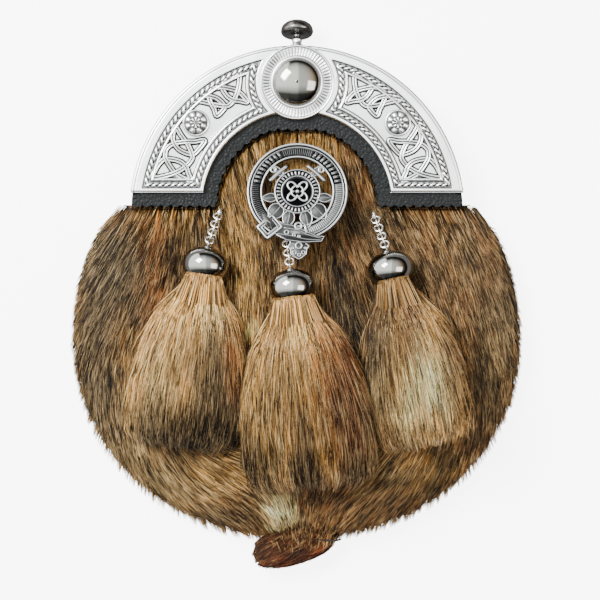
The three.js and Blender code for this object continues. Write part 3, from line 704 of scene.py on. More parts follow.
KNOB = {"y": 115.5, "z": 10.9, "tilt": 20.0, "head": 7.5, "stem": 1.6, "bore": 1.9, "collar": 2.7,
        "head_from": 5.2, "head_height": 7.2, "collar_to": 3.1}
KNOB_TILT = math.radians(KNOB["tilt"])
KNOB_AXIS = np.array([0, math.cos(KNOB_TILT), -math.sin(KNOB_TILT)])
KNOB_FOOT = np.array([0, KNOB["y"], KNOB["z"]])


def press_knob():
    """A mushroom head on a stem, with the flange that keeps it in."""
    head, stem = KNOB["head"], KNOB["stem"]
    shares = np.array([(0.5, 0.1), (0.88, 0.12), (1.0, 0.27), (1.0, 0.42), (0.93, 0.64), (0.72, 0.85),
                       (0.4, 0.97), (0.001, 1.0)])
    curve = shares * [head, KNOB["head_height"]] + [0, KNOB["head_from"]]
    top = smooth_profile(np.concatenate([[(stem, KNOB["head_from"] + 0.3)], curve]), 5)
    flange = stem + 0.6
    low = [(0.01, -5.9), (flange - 0.2, -5.9), (flange, -5.6), (flange, -5.0), (flange - 0.2, -4.7),
           (stem, -4.7), (stem, KNOB["head_from"] - 0.4)]
    points, faces = lathe(np.concatenate([low, top]), KNOB_FOOT, KNOB_AXIS, 64)
    shade = np.tile(np.concatenate([np.full(len(low), 1.0), np.linspace(0.35, 0.6, len(top))]), 64)
    return one_form("press_knob_turned", points, faces, shade)


def knob_collar():
    """The collar round the press knob's stem."""
    outer, bore = KNOB["collar"], KNOB["bore"]
    top = KNOB["collar_to"]
    profile = [(bore, -3.0), (outer, -3.0), (outer, 0.3), (outer - 0.55, 1.2), (outer - 0.6, top - 0.7),
               (outer - 0.3, top - 0.4), (outer - 0.35, top), (bore, top)]
    return one_form("knob_collar", *lathe(profile, KNOB_FOOT, KNOB_AXIS, 40))


finish_piece(cantle_shell(), SILVER, ["cantle"])
finish_piece(rope_borders(), SILVER)
finish_piece(cantle_knots(), SILVER)
finish_piece(roundel(), SILVER)
finish_piece(knob_collar(), SILVER)
finish_piece(centre_dome(), NICKEL, ["centre_dome"])
for side_name, side in (("left", -1), ("right", 1)):
    finish_piece(boss(side_name, side), SILVER, ["boss_" + side_name])
finish_piece(press_knob(), NICKEL, ["press_knob"], "knob")


# ---- The badge: a strap ring with its buckle, an inner ring and a pendant ornament ----

BADGE = {"x": 0.2, "y": 47.2, "thickness": 2.2, "hanging": 31.4, "tilt": 14.0}
BADGE_TURN = math.radians(BADGE["tilt"])


def badge_base():
    """The height of the badge's back at its middle, from the CAD badge's highest corner."""
    high = box_mm("badge")[1][2]
    return high - BADGE["hanging"] * math.sin(BADGE_TURN) - BADGE["thickness"] * math.cos(BADGE_TURN)


BADGE_Z = badge_base()


def on_badge(points):
    """Points across, up and out of the badge's own plane, in the drawing frame."""
    u, v, w = np.asarray(points, float).reshape(-1, 3).T
    c, s = math.cos(BADGE_TURN), math.sin(BADGE_TURN)
    return np.stack([BADGE["x"] + u, BADGE["y"] + v * c + w * s, BADGE_Z - v * s + w * c], 1)


def add_plate(shapes, outline, low, high, bevel, shades):
    """A flat shape on the badge with bevelled upper edges: side, edge and face each have a polish, and the
    dark polish given to the sides is painted shade.
    """
    outline = np.asarray(outline, float)
    ahead, behind = unit(np.roll(outline, -1, 0) - outline), unit(outline - np.roll(outline, 1, 0))
    inward = unit(ahead + behind) @ np.array([[0, 1], [-1, 0]])
    inner = outline + inward * bevel
    count = len(outline)
    rings = [np.column_stack([ring, np.full(count, z)])
             for ring, z in ((outline, low), (outline, high - bevel), (inner, high))]
    faces = [grid_faces(3, count, False, True), *end_caps(3, count)]
    shapes.add(on_badge(np.concatenate(rings)), faces, np.repeat(shades, count))


def add_disc(shapes, radii, steps, height_of):
    """A disc or ring in relief in the middle of the badge."""
    points, faces, shade = polar((0, 0), radii, steps, height_of, 0.0)
    shapes.add(on_badge(points), faces, shade)


def turned_about(points, degrees, shift):
    """Points turned anticlockwise about the origin, then moved."""
    a = math.radians(degrees)
    rotation = np.array([[math.cos(a), math.sin(a)], [-math.sin(a), math.cos(a)]])
    return np.asarray(points, float) @ rotation + shift


def wire(shapes, route, radius, w, shade=1.0, closed=True):
    """A raised half-round line on the badge."""
    route = np.column_stack([route, np.full(len(route), w)])
    points, faces = sweep(route, circle(radius, 8), closed=closed)
    shapes.add(on_badge(points), faces, shade)


def strap_band():
    """The ring of strap: raised edges, fine reeding, and two sunk panels, dark with painted shade, that hold
    plain bars.
    """
    reeds = 132
    top = BADGE["thickness"]

    def height_of(r, a):
        edges = np.interp(
            r, [16.0, 16.15, 16.8, 17.1, 17.3, 20.6, 20.8, 21.0, 21.3, 21.5, 21.9, 22.1, 22.8, 23.0],
            [-0.5, 0.0, 0.0, -0.9, -0.95, -0.95, -0.9, -0.45, -0.45, -0.85, -0.85, 0.0, 0.0, -0.4])
        band = band_of(r, 17.2, 20.8, 0.3)
        from_top = np.abs((np.degrees(a) - 90 + 180) % 360 - 180)
        in_panel = band_of(from_top, 20, 80, 2)
        wave = 0.5 + 0.5 * np.cos(reeds * a)
        # Painted light and shade: the reeds are lighter towards the lower right of the ring, darker towards
        # the upper left, and the sunk grooves are dark.
        lit = 0.5 + 0.5 * np.clip(-2.2 * np.sin(a - 0.9), -1, 1)
        z = np.where(band > 0, top - 0.95 + 0.6 * band * wave * (1 - in_panel), top + edges)
        polish_and_shade = np.interp(
            r, [16.0, 16.2, 16.8, 17.0, 17.3, 20.7, 20.95, 21.35, 21.5, 21.9, 22.05, 22.8, 23.0],
            [0.3, 1.0, 1.0, 0.0, 0.0, 0.0, 0.7, 0.7, 0.0, 0.0, 1.0, 1.0, 0.7])
        return z, np.clip(polish_and_shade + band * (1 - in_panel) * (0.2 * lit + wave**2 * (0.2 + 0.4 * lit)), 0, 1)

    radii = spaced([16.0, 17.4, 20.5, 23.0], [0.2, 0.6, 0.17])
    shapes = Shapes()
    add_disc(shapes, radii, reeds * 4, height_of)
    for side in (-1, 1):
        for step in range(9):
            angle = math.radians(90 + side * (25.5 + 6.2 * step))
            outline = turned_about([(-1.35, -0.55), (1.35, -0.55), (1.35, 0.55), (-1.35, 0.55)],
                                   math.degrees(angle) + side * 8,
                                   19.0 * np.array([math.cos(angle), math.sin(angle)]))
            add_plate(shapes, outline[::-1], top - 1.0, top - 0.1, 0.2, (0.2, 1.0, 1.0))
    return shapes.piece("badge_strap_band")


def inner_ring():
    """The inner disc: a border of beads, on a ground dark with painted shade, between two raised rings, round
    a knot of four loops.
    """
    beads = 34
    top = BADGE["thickness"] + 0.2

    def height_of(r, a):
        z = np.interp(r, [0.02, 6.6, 6.8, 7.0, 7.4, 7.6, 9.6, 9.8, 10.0, 10.4, 10.6],
                      [-0.9, -0.9, -0.6, 0.0, 0.0, -0.7, -0.7, -0.3, 0.0, 0.0, -0.4])
        band = band_of(r, 7.75, 9.65, 0.3)
        wave = np.clip(0.35 + 1.1 * np.cos(beads * a), 0, 1)
        # Painted shade: the sunk floor of the disc and the ground between the beads are dark.
        polish_and_shade = np.interp(r, [0.02, 6.5, 6.8, 7.0, 7.4, 7.55, 9.85, 10.0, 10.2, 10.6],
                           [0.0, 0.0, 0.4, 1.0, 1.0, 0.0, 0.0, 0.5, 1.0, 0.8])
        return top + z + 0.5 * band * wave, np.clip(polish_and_shade + 0.95 * band * wave, 0, 1)

    radii = spaced([0.02, 6.4, 10.6], [0.8, 0.18])
    shapes = Shapes()
    add_disc(shapes, radii, beads * 8, height_of)
    angle = np.linspace(0, 2 * np.pi, 161)[:-1]
    loops = 5.4 * np.sqrt(0.12 + np.cos(2 * angle) ** 2)
    knot = np.stack([loops * np.cos(angle + 0.25 * np.pi), loops * np.sin(angle + 0.25 * np.pi)], 1)
    wire(shapes, knot, 0.55, top - 0.55)
    wire(shapes, circle(2.7, 48), 0.5, top - 0.45)
    pearl = [(0.01, 0.9), (0.5, 0.8), (0.95, 0.4), (1.1, -0.3), (0.01, -0.3)]
    points, faces = lathe(pearl, (0, 0, top - 0.8), UP, 24)
    shapes.add(on_badge(points), faces, 1.0)
    return shapes.piece("badge_inner_ring")


def leaf(length, width, points=14):
    """A pointed leaf along +x from the origin."""
    t = np.linspace(0, 1, points)
    half = width / 2 * np.sin(np.pi * t**0.8) ** 0.8
    upper = np.stack([t * length, half], 1)
    return np.concatenate([upper[:-1], upper[::-1][:-1] * [1, -1]])[::-1]


def badge_arms():
    """Leaves and eyelets that join the inner ring to the strap band."""
    thickness = BADGE["thickness"]
    shapes = Shapes()
    rows = [  # angle from +x, length, width, sideways turn
        (48, 7.0, 2.6, 0), (132, 7.0, 2.6, 0), (222, 8.6, 7.0, 6), (318, 8.6, 7.0, -6),
        (197, 7.0, 4.0, -14), (343, 7.0, 4.0, 14), (250, 8.2, 5.4, 8), (290, 8.2, 5.4, -8),
    ]
    for angle, length, width, turn in rows:
        root = 9.6 * np.array([math.cos(math.radians(angle)), math.sin(math.radians(angle))])
        outline = turned_about(leaf(length, width), angle + turn, root)
        add_plate(shapes, outline, 0.2, thickness - 0.35, 0.3, (0.1, 0.3, 0.12))
        wire(shapes, outline, 0.3, thickness - 0.4)
        spine = turned_about([(0.8, 0), (length * 0.5, 0.15), (length * 0.85, 0)], angle + turn, root)
        wire(shapes, smooth_profile(spine, 5), 0.2, thickness - 0.35, 0.5, closed=False)
    for side in (-1, 1):
        # A round bar lies across each upper leaf.
        bar = turned_about([(-5.4, 0), (0, 0.25), (5.4, 0)], side * -42, (side * 8.6, 8.4))
        wire(shapes, smooth_profile(bar, 6), 0.95, thickness - 0.2, 0.6, closed=False)
        wire(shapes, circle(1.2, 28) + [side * 10.9, 10.2], 0.5, thickness - 0.1)
    return shapes.piece("badge_leaf_arms")


BUCKLE = {"long": 4.3, "wide": 3.5, "turn": 40, "place": (-12.6, -16.8)}


def eyelets(shapes, rows, radius, w):
    """Small raised rings: across, up and size of each."""
    for x, y, size in rows:
        wire(shapes, circle(size, 20) + [x, y], radius, w)


def strap_end(shapes, top):
    """The strap's turned-down end, edged and lined, with three eyelets."""
    outline = [(-8.0, -15.2), (-2.0, -16.2), (3.0, -18.6), (8.5, -21.0), (12.2, -21.4), (10.8, -23.6),
               (3.0, -24.0), (-5.0, -22.9), (-10.2, -20.0)]
    add_plate(shapes, outline, 0.1, top + 0.1, 0.5, (0.15, 1.0, 0.25))
    wire(shapes, outline, 0.24, top, 0.95)
    lines = [[(-6.5, -17.2), (0.0, -18.3), (5.0, -20.6), (10.8, -22.2)],
             [(-9.2, -20.0), (-3.0, -21.0), (4.0, -22.6), (10.6, -23.0)]]
    for line in lines:
        wire(shapes, smooth_profile(line, 6), 0.18, top + 0.1, 0.9, closed=False)
    eyelets(shapes, ((-4.9, -19.4, 0.95), (-1.6, -20.6, 0.6), (0.7, -21.4, 0.5)), 0.3, top + 0.2)


def buckle_frame(shapes, top):
    """A frame of square bar with a smaller one inside it, round a sunk floor."""
    bar = [(-0.6, -1.6), (0.6, -1.6), (0.6, 0.3), (0.3, 0.6), (-0.3, 0.6), (-0.6, 0.3)]
    # Painted shade and light: the bars' sides and the sunk floor are dark, the bars' tops bright, and the
    # lower inner frame darker than the outer.
    bar_polish_and_shade = np.array([0.1, 0.1, 0.5, 1.0, 1.0, 0.5])
    for grow_by, w, polish_and_shade in ((0.0, 0.05, 1.0), (-1.3, -0.25, 0.55)):
        long, wide = BUCKLE["long"] + grow_by, BUCKLE["wide"] + grow_by
        corners = turned_about([(-long, -wide), (long, -wide), (long, wide), (-long, wide)],
                               BUCKLE["turn"], BUCKLE["place"])
        edges = zip(corners, np.roll(corners, -1, 0))
        dense = np.concatenate([np.linspace(a, b, 8)[:-1] for a, b in edges])
        route = np.column_stack([dense, np.full(len(dense), top + w)])
        points, faces = sweep(route, bar, closed=True)
        shapes.add(on_badge(points), faces, np.tile(bar_polish_and_shade * polish_and_shade, len(route)))
    add_plate(shapes, corners[::-1], 0.1, top - 0.5, 0.2, (0.1, 0.3, 0.2))


def badge_buckle():
    """The strap's buckle and prong, its turned-down end, and a folded keeper."""
    top = BADGE["thickness"]
    shapes = Shapes()
    strap_end(shapes, top)
    wire(shapes, circle(1.5, 28) + [0.4, -16.4], 0.5, top)
    fold = [(2.8, -15.4), (4.1, -15.2), (4.7, -19.6), (3.5, -19.9)]
    add_plate(shapes, fold[::-1], 0.4, top + 0.6, 0.35, (0.2, 1.0, 1.0))
    buckle_frame(shapes, top)
    prong = [(-16.0, -11.0), (-12.2, -13.6), (-10.4, -16.2), (-12.2, -17.4), (-14.2, -15.4)]
    add_plate(shapes, prong, 0.6, top + 0.9, 0.5, (0.2, 1.0, 0.9))
    return shapes.piece("badge_buckle")


def badge_pendant():
    """The scrolled ornament below the band, with eyelets."""
    top = BADGE["thickness"]
    shapes = Shapes()
    outline = smooth_loop([(-3.0, -22.5), (-3.3, -24.6), (-4.2, -26.2), (-3.2, -27.6), (-2.9, -29.6),
                           (-1.0, -31.0), (0.8, -32.0), (2.6, -30.8), (4.2, -29.4), (4.3, -27.6),
                           (5.4, -26.0), (4.1, -24.8), (3.8, -22.5)], 4)
    add_plate(shapes, outline, 0.0, top - 0.5, 0.35, (0.15, 0.8, 0.15))
    wire(shapes, outline * [0.96, 1] + [0.0, 0.25], 0.3, top - 0.5)
    wire(shapes, circle(1.4, 28) + [0.6, -25.6], 0.42, top - 0.2)
    eyelets(shapes, ((-1.3, -28.9, 0.75), (0.8, -29.9, 0.7), (2.7, -28.8, 0.75), (-2.2, -26.8, 0.45),
                     (3.6, -26.7, 0.45)), 0.26, top - 0.25)
    return shapes.piece("badge_pendant")


finish_piece(strap_band(), PEWTER, ["badge"])
for badge_piece in (inner_ring(), badge_arms(), badge_buckle(), badge_pendant()):
    finish_piece(badge_piece, PEWTER)


# ---- Bells, chains and their staples ----

BELL = {"radius": 10.65, "half_height": 8.2, "wall": 1.2, "mouth": -48.0, "eye_rise": 1.35, "power": 2.2}
LINK = {"radius": 1.95, "wire": 0.5}
# How far below its middle a bell opens.
MOUTH = BELL["half_height"] * math.sin(math.radians(-BELL["mouth"]))
# Places of the bells. The lean of bells and tassels from straight down is positive to the right.
TASSELS = [
    {"side": "left", "x": -41.6, "y": 14.1, "lean": -8, "links": 7, "length": 81.4, "width": 54},
    {"side": "middle", "x": -2.1, "y": 4.0, "lean": 6, "links": 5, "length": 90.4, "width": 61},
    {"side": "right", "x": 42.6, "y": 12.3, "lean": 12, "links": 7, "length": 79.4, "width": 46},
]
# Shares of a tassel's length, and its width there as a share of its greatest.
TASSEL_ALONG = [-0.06, 0.05, 0.12, 0.24, 0.4, 0.6, 0.78, 0.91, 0.98, 1.05]
TASSEL_WIDTH = [0.27, 0.37, 0.53, 0.73, 0.88, 0.98, 1.0, 0.94, 0.78, 0.6]


def link_mesh(shapes, centre, normal):
    """A round link that faces along its normal."""
    normal = unit(normal)
    side = unit(np.cross(normal, [0.2, 0.3, 1] if abs(normal[2]) < 0.9 else [1, 0, 0]))
    other = np.cross(normal, side)
    angle = np.arange(28) * 2 * np.pi / 28
    ring = np.cos(angle)[:, None] * side + np.sin(angle)[:, None] * other
    points, faces = sweep(centre + LINK["radius"] * ring, circle(LINK["wire"], 10), closed=True, up=normal)
    shapes.add(points, faces, 1.0)


def bell_place(t):
    """The middle of a bell."""
    low, high = box_mm("bell_" + t["side"])
    return np.array([t["x"], t["y"], (low[2] + high[2]) / 2])


def bell(t):
    """A flattened hollow bell on its side, with the eye that its chain hooks into."""
    radius, half, wall = BELL["radius"], BELL["half_height"], BELL["wall"]
    angles = np.radians(np.linspace(90, BELL["mouth"], 30))
    fuller = 2 / BELL["power"]
    c, s = np.abs(np.cos(angles)) ** fuller, np.sign(angles) * np.abs(np.sin(angles)) ** fuller
    outside = np.stack([radius * c, half * s], 1)
    inside = np.stack([(radius - wall) * c, (half - wall) * s], 1)[::-1]
    lip = (outside[-1] + inside[0]) / 2 + [0.1, -0.35]
    profile = np.concatenate([outside, [lip], inside])
    profile[0, 0] = profile[-1, 0] = 0.01
    up = np.array([*(-lean_direction(t["lean"])), 0])
    centre = bell_place(t)
    points, faces = lathe(profile, centre, up, 96)
    # The inside of the bell is darker than its outside: painted shade in the hollow.
    shade = np.tile(np.concatenate([np.ones(len(outside)), [0.8], np.full(len(inside), 0.4)]), 96)
    shapes = Shapes()
    shapes.add(points, faces, shade)
    collar = [(0.01, -0.5), (2.3, -0.5), (2.2, 0.1), (1.5, 0.45), (0.01, 0.5)]
    shapes.add(*lathe(collar, centre + up * half, up, 32), 0.8)
    eye = centre + up * (half + BELL["eye_rise"])
    link_mesh(shapes, eye, np.cross(chain_direction(t), UP))
    return shapes.piece(f"bell_{t['side']}_turned")


def node_centre(node):
    """The middle of a CAD node's box."""
    low, high = box_mm(node)
    return (low + high) / 2 - [0, SHIFT_Y, 0]


def chain_direction(t):
    """From a tassel's lowest link to its highest."""
    first = node_centre(f"chain_{t['side']}_link_1")
    last = node_centre(f"chain_{t['side']}_link_{t['links']}")
    return unit(last - first)


def chain_pieces(t):
    """The chain's links, turned by a quarter from one to the next, and the staple that holds the last."""
    along = chain_direction(t)
    side = unit(np.cross(along, UP))
    face = unit(np.cross(side, along))
    for i in range(t["links"]):
        node = f"chain_{t['side']}_link_{i + 1}"
        shapes = Shapes()
        link_mesh(shapes, node_centre(node), side if i % 2 else face)
        finish_piece(shapes.piece(node + "_round"), CHAIN_METAL, [node])
    node = f"chain_{t['side']}_staple"
    pitch = node_centre(f"chain_{t['side']}_link_2") - node_centre(f"chain_{t['side']}_link_1")
    eye = node_centre(f"chain_{t['side']}_link_{t['links']}") + pitch
    shapes = Shapes()
    link_mesh(shapes, eye, side)
    post = [(0.01, -6), (1.1, -6), (1.1, -0.1), (0.8, 0.2), (0.01, 0.3)]
    shapes.add(*lathe(post, eye - [0, 0, LINK["radius"]], UP, 20))
    finish_piece(shapes.piece(node + "_round"), CHAIN_METAL, [node])


for t in TASSELS:
    finish_piece(bell(t), NICKEL, ["bell_" + t["side"]])
    chain_pieces(t)


# ---- Fur: height of the coat, its flow and its colours ----

# The pouch's outline, a squarish oval: how far it goes above and below its middle, at y.
BODY = {"half_width": 103.0, "above": 100.3, "below": 93.0, "y": -18.0, "power": 2.1}


def reach_of(x, y):
    """0 in the middle of the pouch and 1 at its outline."""
    scale = np.where(y > BODY["y"], BODY["above"], BODY["below"])
    power = BODY["power"]
    return (np.abs(x / BODY["half_width"]) ** power + np.abs((y - BODY["y"]) / scale) ** power) ** (1 / power)


def outline_point(angle, reach):
    """The other way round from reach_of(), for an angle about the middle."""
    scale = np.where(np.sin(angle) > 0, BODY["above"], BODY["below"])
    c, s = np.cos(angle), np.sin(angle)
    size = reach / (np.abs(c) ** BODY["power"] + np.abs(s) ** BODY["power"]) ** (1 / BODY["power"])
    return np.stack([BODY["half_width"] * size * c, BODY["y"] + scale * size * s], -1)


def node_mesh(node):
    """A CAD node's points and faces."""
    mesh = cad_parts[node].data
    points = drawn([v.co for v in mesh.vertices])
    return points, [tuple(p.vertices) for p in mesh.polygons]


def neighbours(grid, **beyond):
    """The left, right, lower and upper neighbour of each place on a grid."""
    padded = np.pad(grid, 1, **beyond)
    return padded[1:-1, :-2], padded[1:-1, 2:], padded[:-2, 1:-1], padded[2:, 1:-1]


def cast_down(node, pitch, margin):
    """A CAD node's upper surface on a grid, empty where it has none, and the place of the grid's corner."""
    points, faces = node_mesh(node)
    tree = BVHTree.FromPolygons(points.tolist(), faces)
    origin = points.min(0)[:2] - margin
    columns, rows = np.ceil((points.max(0)[:2] + margin - origin) / pitch).astype(int) + 1
    grid = np.full((rows, columns), np.nan)
    start_z = points[:, 2].max() + 5
    for j in range(rows):
        for i in range(columns):
            x, y = origin + np.array([i, j]) * pitch
            hit = tree.ray_cast(Vector((x, y, start_z)), Vector((0, 0, -1)))
            if hit[0] is not None:
                grid[j, i] = hit[0].z
    return grid, origin


class HeightMap:
    """The upper surface of a CAD node on a grid, carried down steeply past its outline."""

    def __init__(self, node, pitch, margin=8.0, fall=2.2, blur=2):
        self.pitch = pitch
        grid, self.origin = cast_down(node, pitch, margin)
        while np.isnan(grid).any():
            around = np.stack(neighbours(grid, constant_values=np.nan))
            known = np.isfinite(around).any(0) & np.isnan(grid)
            nearest = np.nanmax(np.where(np.isfinite(around), around, -np.inf), 0)
            grid[known] = nearest[known] - fall * pitch
        for _ in range(blur):
            grid = (sum(neighbours(grid, mode="edge")) + 4 * grid) / 8
        self.grid = grid

    def at(self, p):
        return sample(self.grid, (p - self.origin) / self.pitch)


class Higher:
    """The higher of several height maps."""

    def __init__(self, *maps):
        self.maps = maps

    def at(self, p):
        return np.maximum.reduce([m.at(p) for m in self.maps])


def sample(grid, cells):
    """A grid read between its points."""
    rows, columns = grid.shape
    x = np.clip(cells[..., 0], 0, columns - 1.001)
    y = np.clip(cells[..., 1], 0, rows - 1.001)
    i, j = x.astype(int), y.astype(int)
    fx, fy = x - i, y - j
    return ((grid[j, i] * (1 - fx) + grid[j, i + 1] * fx) * (1 - fy)
            + (grid[j + 1, i] * (1 - fx) + grid[j + 1, i + 1] * fx) * fy)


class Ripple:
    """Smooth noise over the front plane, about -1 to 1, with cells of one size."""

    CELLS = 60

    def __init__(self, size):
        self.size = size
        self.grid = random.normal(0, 0.6, (self.CELLS, self.CELLS))

    def at(self, p):
        return sample(self.grid, (p + 180) / self.size % (self.CELLS - 2))


# Which way the coat lies: at each place, the lean of its hairs from straight down, positive to the right.
COAT_LIE = [
    # x, y, lean
    (-97, 45, -60), (-90, 30, -42), (-72, 30, -30), (-72, 12, -22), (-97, -16, -28), (-86, -38, -6),
    (-62, 34, -8), (-52, 10, -6), (-48, 36, 14), (-30, 40, 22), (-28, 10, 6), (-35, 62, 10), (0, 70, 0),
    (0, 20, 0), (-18, 10, 2), (20, 20, 3), (30, 62, 6), (38, 38, 30), (47, 22, 34), (55, 2, 24),
    (66, 30, 10), (66, 0, 10), (84, 30, 28), (93, -16, 18), (80, -40, 12), (97, 45, 55),
    (-97, -62, 6), (-80, -66, 14), (-68, -82, 26), (-48, -90, 40), (-31, -100, 55), (-26, -66, 82),
    (-28, -84, 70), (0, -80, 20), (-5, -103, 22), (12, -100, -30), (24, -86, -62), (22, -66, -40),
    (43, -94, -40), (57, -80, -30),
    (80, -66, -10), (97, -55, 4), (88, -75, -20),
]
LIE_SPREAD = 15.0  # how far each of these places is felt


def coat_flow(p):
    """The direction of the coat at each place, from the places near it."""
    table = np.array(COAT_LIE, float)
    near = np.exp(-(((p[:, None] - table[None, :, :2]) ** 2).sum(-1)) / (2 * LIE_SPREAD**2)) + 1e-9
    direction = (near[..., None] * lean_direction(table[:, 2])[None]).sum(1)
    return unit(direction)


HAIR = {name: linear(value) for name, value in {
    "cream": "e9c58a", "blond": "c6914c", "gold": "9a6f33", "ochre": "77532d", "orange": "80481f",
    "khaki": "735f40", "olive": "4b4132", "tail": "5a3018", "brown": "533826", "rust": "562a14",
    "dark": "211812", "black": "0f0b09",
}.items()}

# Patches of colour on the coat, one after another: a middle, two radii, the hair colour and its strength.
COAT_PATCHES = [
    # x, y, radius across, radius along, colour, strength
    (0, 66, 52, 26, "gold", 0.85), (0, 20, 60, 20, "ochre", 0.5),
    (-28, 30, 11, 26, "gold", 0.7), (28, 40, 10, 30, "orange", 0.5), (30, 20, 10, 20, "ochre", 0.6),
    (-70, 36, 14, 10, "blond", 0.7), (-68, 26, 8, 12, "orange", 0.6), (-53, 32, 7, 14, "gold", 0.7),
    (-64, 2, 6, 28, "orange", 0.75), (-82, 34, 10, 10, "ochre", 0.5),
    (-82, 14, 10, 16, "olive", 0.8), (-74, 14, 4, 16, "dark", 0.6), (-88, 20, 12, 14, "olive", 0.7),
    (-84, 22, 4, 12, "dark", 0.6),
    (-92, 8, 12, 26, "olive", 0.85), (-94, -26, 12, 28, "olive", 0.75), (-80, -8, 7, 16, "dark", 0.5),
    (-78, -32, 7, 14, "gold", 0.6), (-88, -46, 12, 14, "olive", 0.6),
    (-57, 14, 3.5, 22, "dark", 0.85), (-45, 22, 7, 16, "olive", 0.6), (-68, -32, 5, 24, "black", 0.7),
    (-19, 18, 4.5, 34, "dark", 0.9), (-22, -10, 6, 30, "blond", 0.8), (-33, 2, 3.5, 14, "dark", 0.7),
    (-27, 52, 3, 10, "dark", 0.7), (24, 62, 3, 14, "brown", 0.7), (30, 64, 6, 10, "brown", 0.5),
    (18, 4, 5.5, 34, "dark", 0.95), (25, -16, 6, 24, "black", 0.9), (27, 34, 4, 14, "dark", 0.6),
    (38, 34, 9, 14, "olive", 0.7), (50, 22, 9, 12, "dark", 0.4), (56, 8, 6, 18, "khaki", 0.7),
    (66, 28, 10, 20, "ochre", 0.8), (64, -8, 12, 30, "brown", 0.6), (72, -20, 8, 26, "ochre", 0.5),
    (86, 14, 12, 26, "brown", 0.65), (78, 20, 5, 14, "khaki", 0.5), (92, -26, 7, 28, "khaki", 0.8),
    (98, -6, 6, 24, "olive", 0.7), (80, -48, 14, 20, "ochre", 0.5), (84, -30, 4, 26, "dark", 0.6),
    (58, 0, 3, 20, "dark", 0.6), (88, -52, 5, 20, "khaki", 0.6),
    (-82, -72, 22, 18, "khaki", 0.85), (-95, -62, 8, 20, "olive", 0.7), (-62, -90, 20, 10, "khaki", 0.85),
    (-48, -84, 14, 10, "khaki", 0.6), (-36, -80, 16, 10, "gold", 0.7), (-27, -60, 7, 20, "gold", 0.8),
    (-34, -104, 14, 7, "olive", 0.7), (-76, -60, 8, 6, "dark", 0.5),
    (-8, -99, 7, 9, "cream", 0.95), (12, -92, 12, 9, "rust", 0.7), (30, -98, 14, 9, "ochre", 0.6),
    (24, -62, 6, 18, "brown", 0.8), (56, -82, 20, 10, "gold", 0.8), (50, -96, 16, 6, "brown", 0.7),
    (88, -66, 12, 14, "brown", 0.6), (72, -92, 14, 8, "dark", 0.5), (44, -84, 8, 6, "khaki", 0.8),
]
TASSEL_PATCHES = {
    "left": [
        (-44, -20, 60, 60, "blond", 0.95), (-66, -34, 9, 24, "khaki", 0.5), (-54, -60, 34, 12, "khaki", 0.7),
        (-62, -44, 6, 12, "cream", 0.4), (-49, -24, 3, 14, "brown", 0.5), (-47, -36, 4, 14, "brown", 0.6),
        (-37, -14, 6, 12, "cream", 0.5), (-35, -28, 8, 15, "black", 0.95), (-37, -44, 9, 13, "dark", 0.9),
        (-29, -26, 4, 18, "orange", 0.9), (-27, -46, 4, 14, "orange", 0.7), (-30, -50, 14, 8, "brown", 0.8),
        (-42, -48, 5, 10, "khaki", 0.6), (-42, -62, 22, 14, "dark", 0.95), (-50, -68, 18, 11, "black", 0.95),
        (-68, -60, 7, 10, "olive", 0.9), (-28, -64, 10, 14, "black", 0.85), (-62, -72, 8, 8, "dark", 0.9),
    ],
    "middle": [
        (-2, -14, 40, 36, "cream", 0.3), (-2, -16, 40, 34, "blond", 0.9),
        (-2, -70, 44, 34, "brown", 0.95), (-8, -40, 26, 16, "gold", 0.8),
        (21, -32, 10, 26, "rust", 1.0), (12, -30, 5, 20, "orange", 0.75), (-14, -60, 8, 18, "khaki", 0.7),
        (-18, -78, 9, 12, "black", 0.9), (4, -80, 9, 14, "black", 0.9), (22, -62, 9, 20, "rust", 0.9),
        (-6, -70, 1.8, 18, "blond", 0.7), (10, -66, 1.8, 16, "gold", 0.7), (31, -60, 5, 18, "brown", 0.8),
        (-20, -50, 6, 14, "gold", 0.7), (30, -82, 9, 8, "dark", 0.8), (-2, -50, 3, 14, "brown", 0.6),
        (-10, -20, 4, 16, "ochre", 0.5), (16, -74, 2.4, 12, "gold", 0.8), (-13, -70, 2.2, 12, "gold", 0.7),
    ],
    "right": [
        (46, -10, 60, 60, "ochre", 0.9), (40, 4, 12, 8, "gold", 0.5), (46, -12, 11, 16, "brown", 0.9),
        (44, -10, 2.5, 12, "gold", 0.6),
        (37, -22, 8, 20, "dark", 0.9), (54, -16, 6, 16, "brown", 0.7), (35, -48, 7, 18, "khaki", 0.9),
        (61, -42, 9, 18, "cream", 0.95), (50, -54, 6, 14, "cream", 0.8), (44, -66, 12, 7, "ochre", 0.8),
        (70, -28, 4, 22, "brown", 0.8), (45, -36, 5, 14, "gold", 0.7), (62, -64, 12, 6, "gold", 0.7),
        (62, -14, 5, 14, "gold", 0.7), (42, -58, 3, 12, "dark", 0.6), (56, -60, 2.5, 10, "ochre", 0.6),
    ],
}
TAIL_PATCHES = [
    (-16, -120, 9, 7, "brown", 0.7), (14, -112, 12, 6, "rust", 0.7), (-8, -107, 9, 4, "ochre", 0.5),
    (6, -122, 8, 4, "dark", 0.5), (-8, -116, 10, 3, "dark", 0.5), (-4, -122, 14, 4, "rust", 0.6),
]


def charted(p, patches, base, ripple):
    """The hair colour at each place, with patch edges broken up by a ripple."""
    colour = np.tile(HAIR[base], (len(p), 1))
    wobble = 1 + 0.35 * ripple.at(p)
    for x, y, across, along, name, strength in patches:
        far = ((p[:, 0] - x) / across) ** 2 + ((p[:, 1] - y) / along) ** 2
        weight = np.clip(strength * np.exp(-0.7 * far**1.5 * wobble), 0, 1)[:, None]
        colour = colour * (1 - weight) + HAIR[name] * weight
    return colour


# ---- Strands ----

SPINE = 4  # points along a strand
SLOPE_STEP = 1.5  # how far ahead a strand feels for the slope of the surface
STRAND_UV = 0.8  # share of its cell that a strand fills in the map


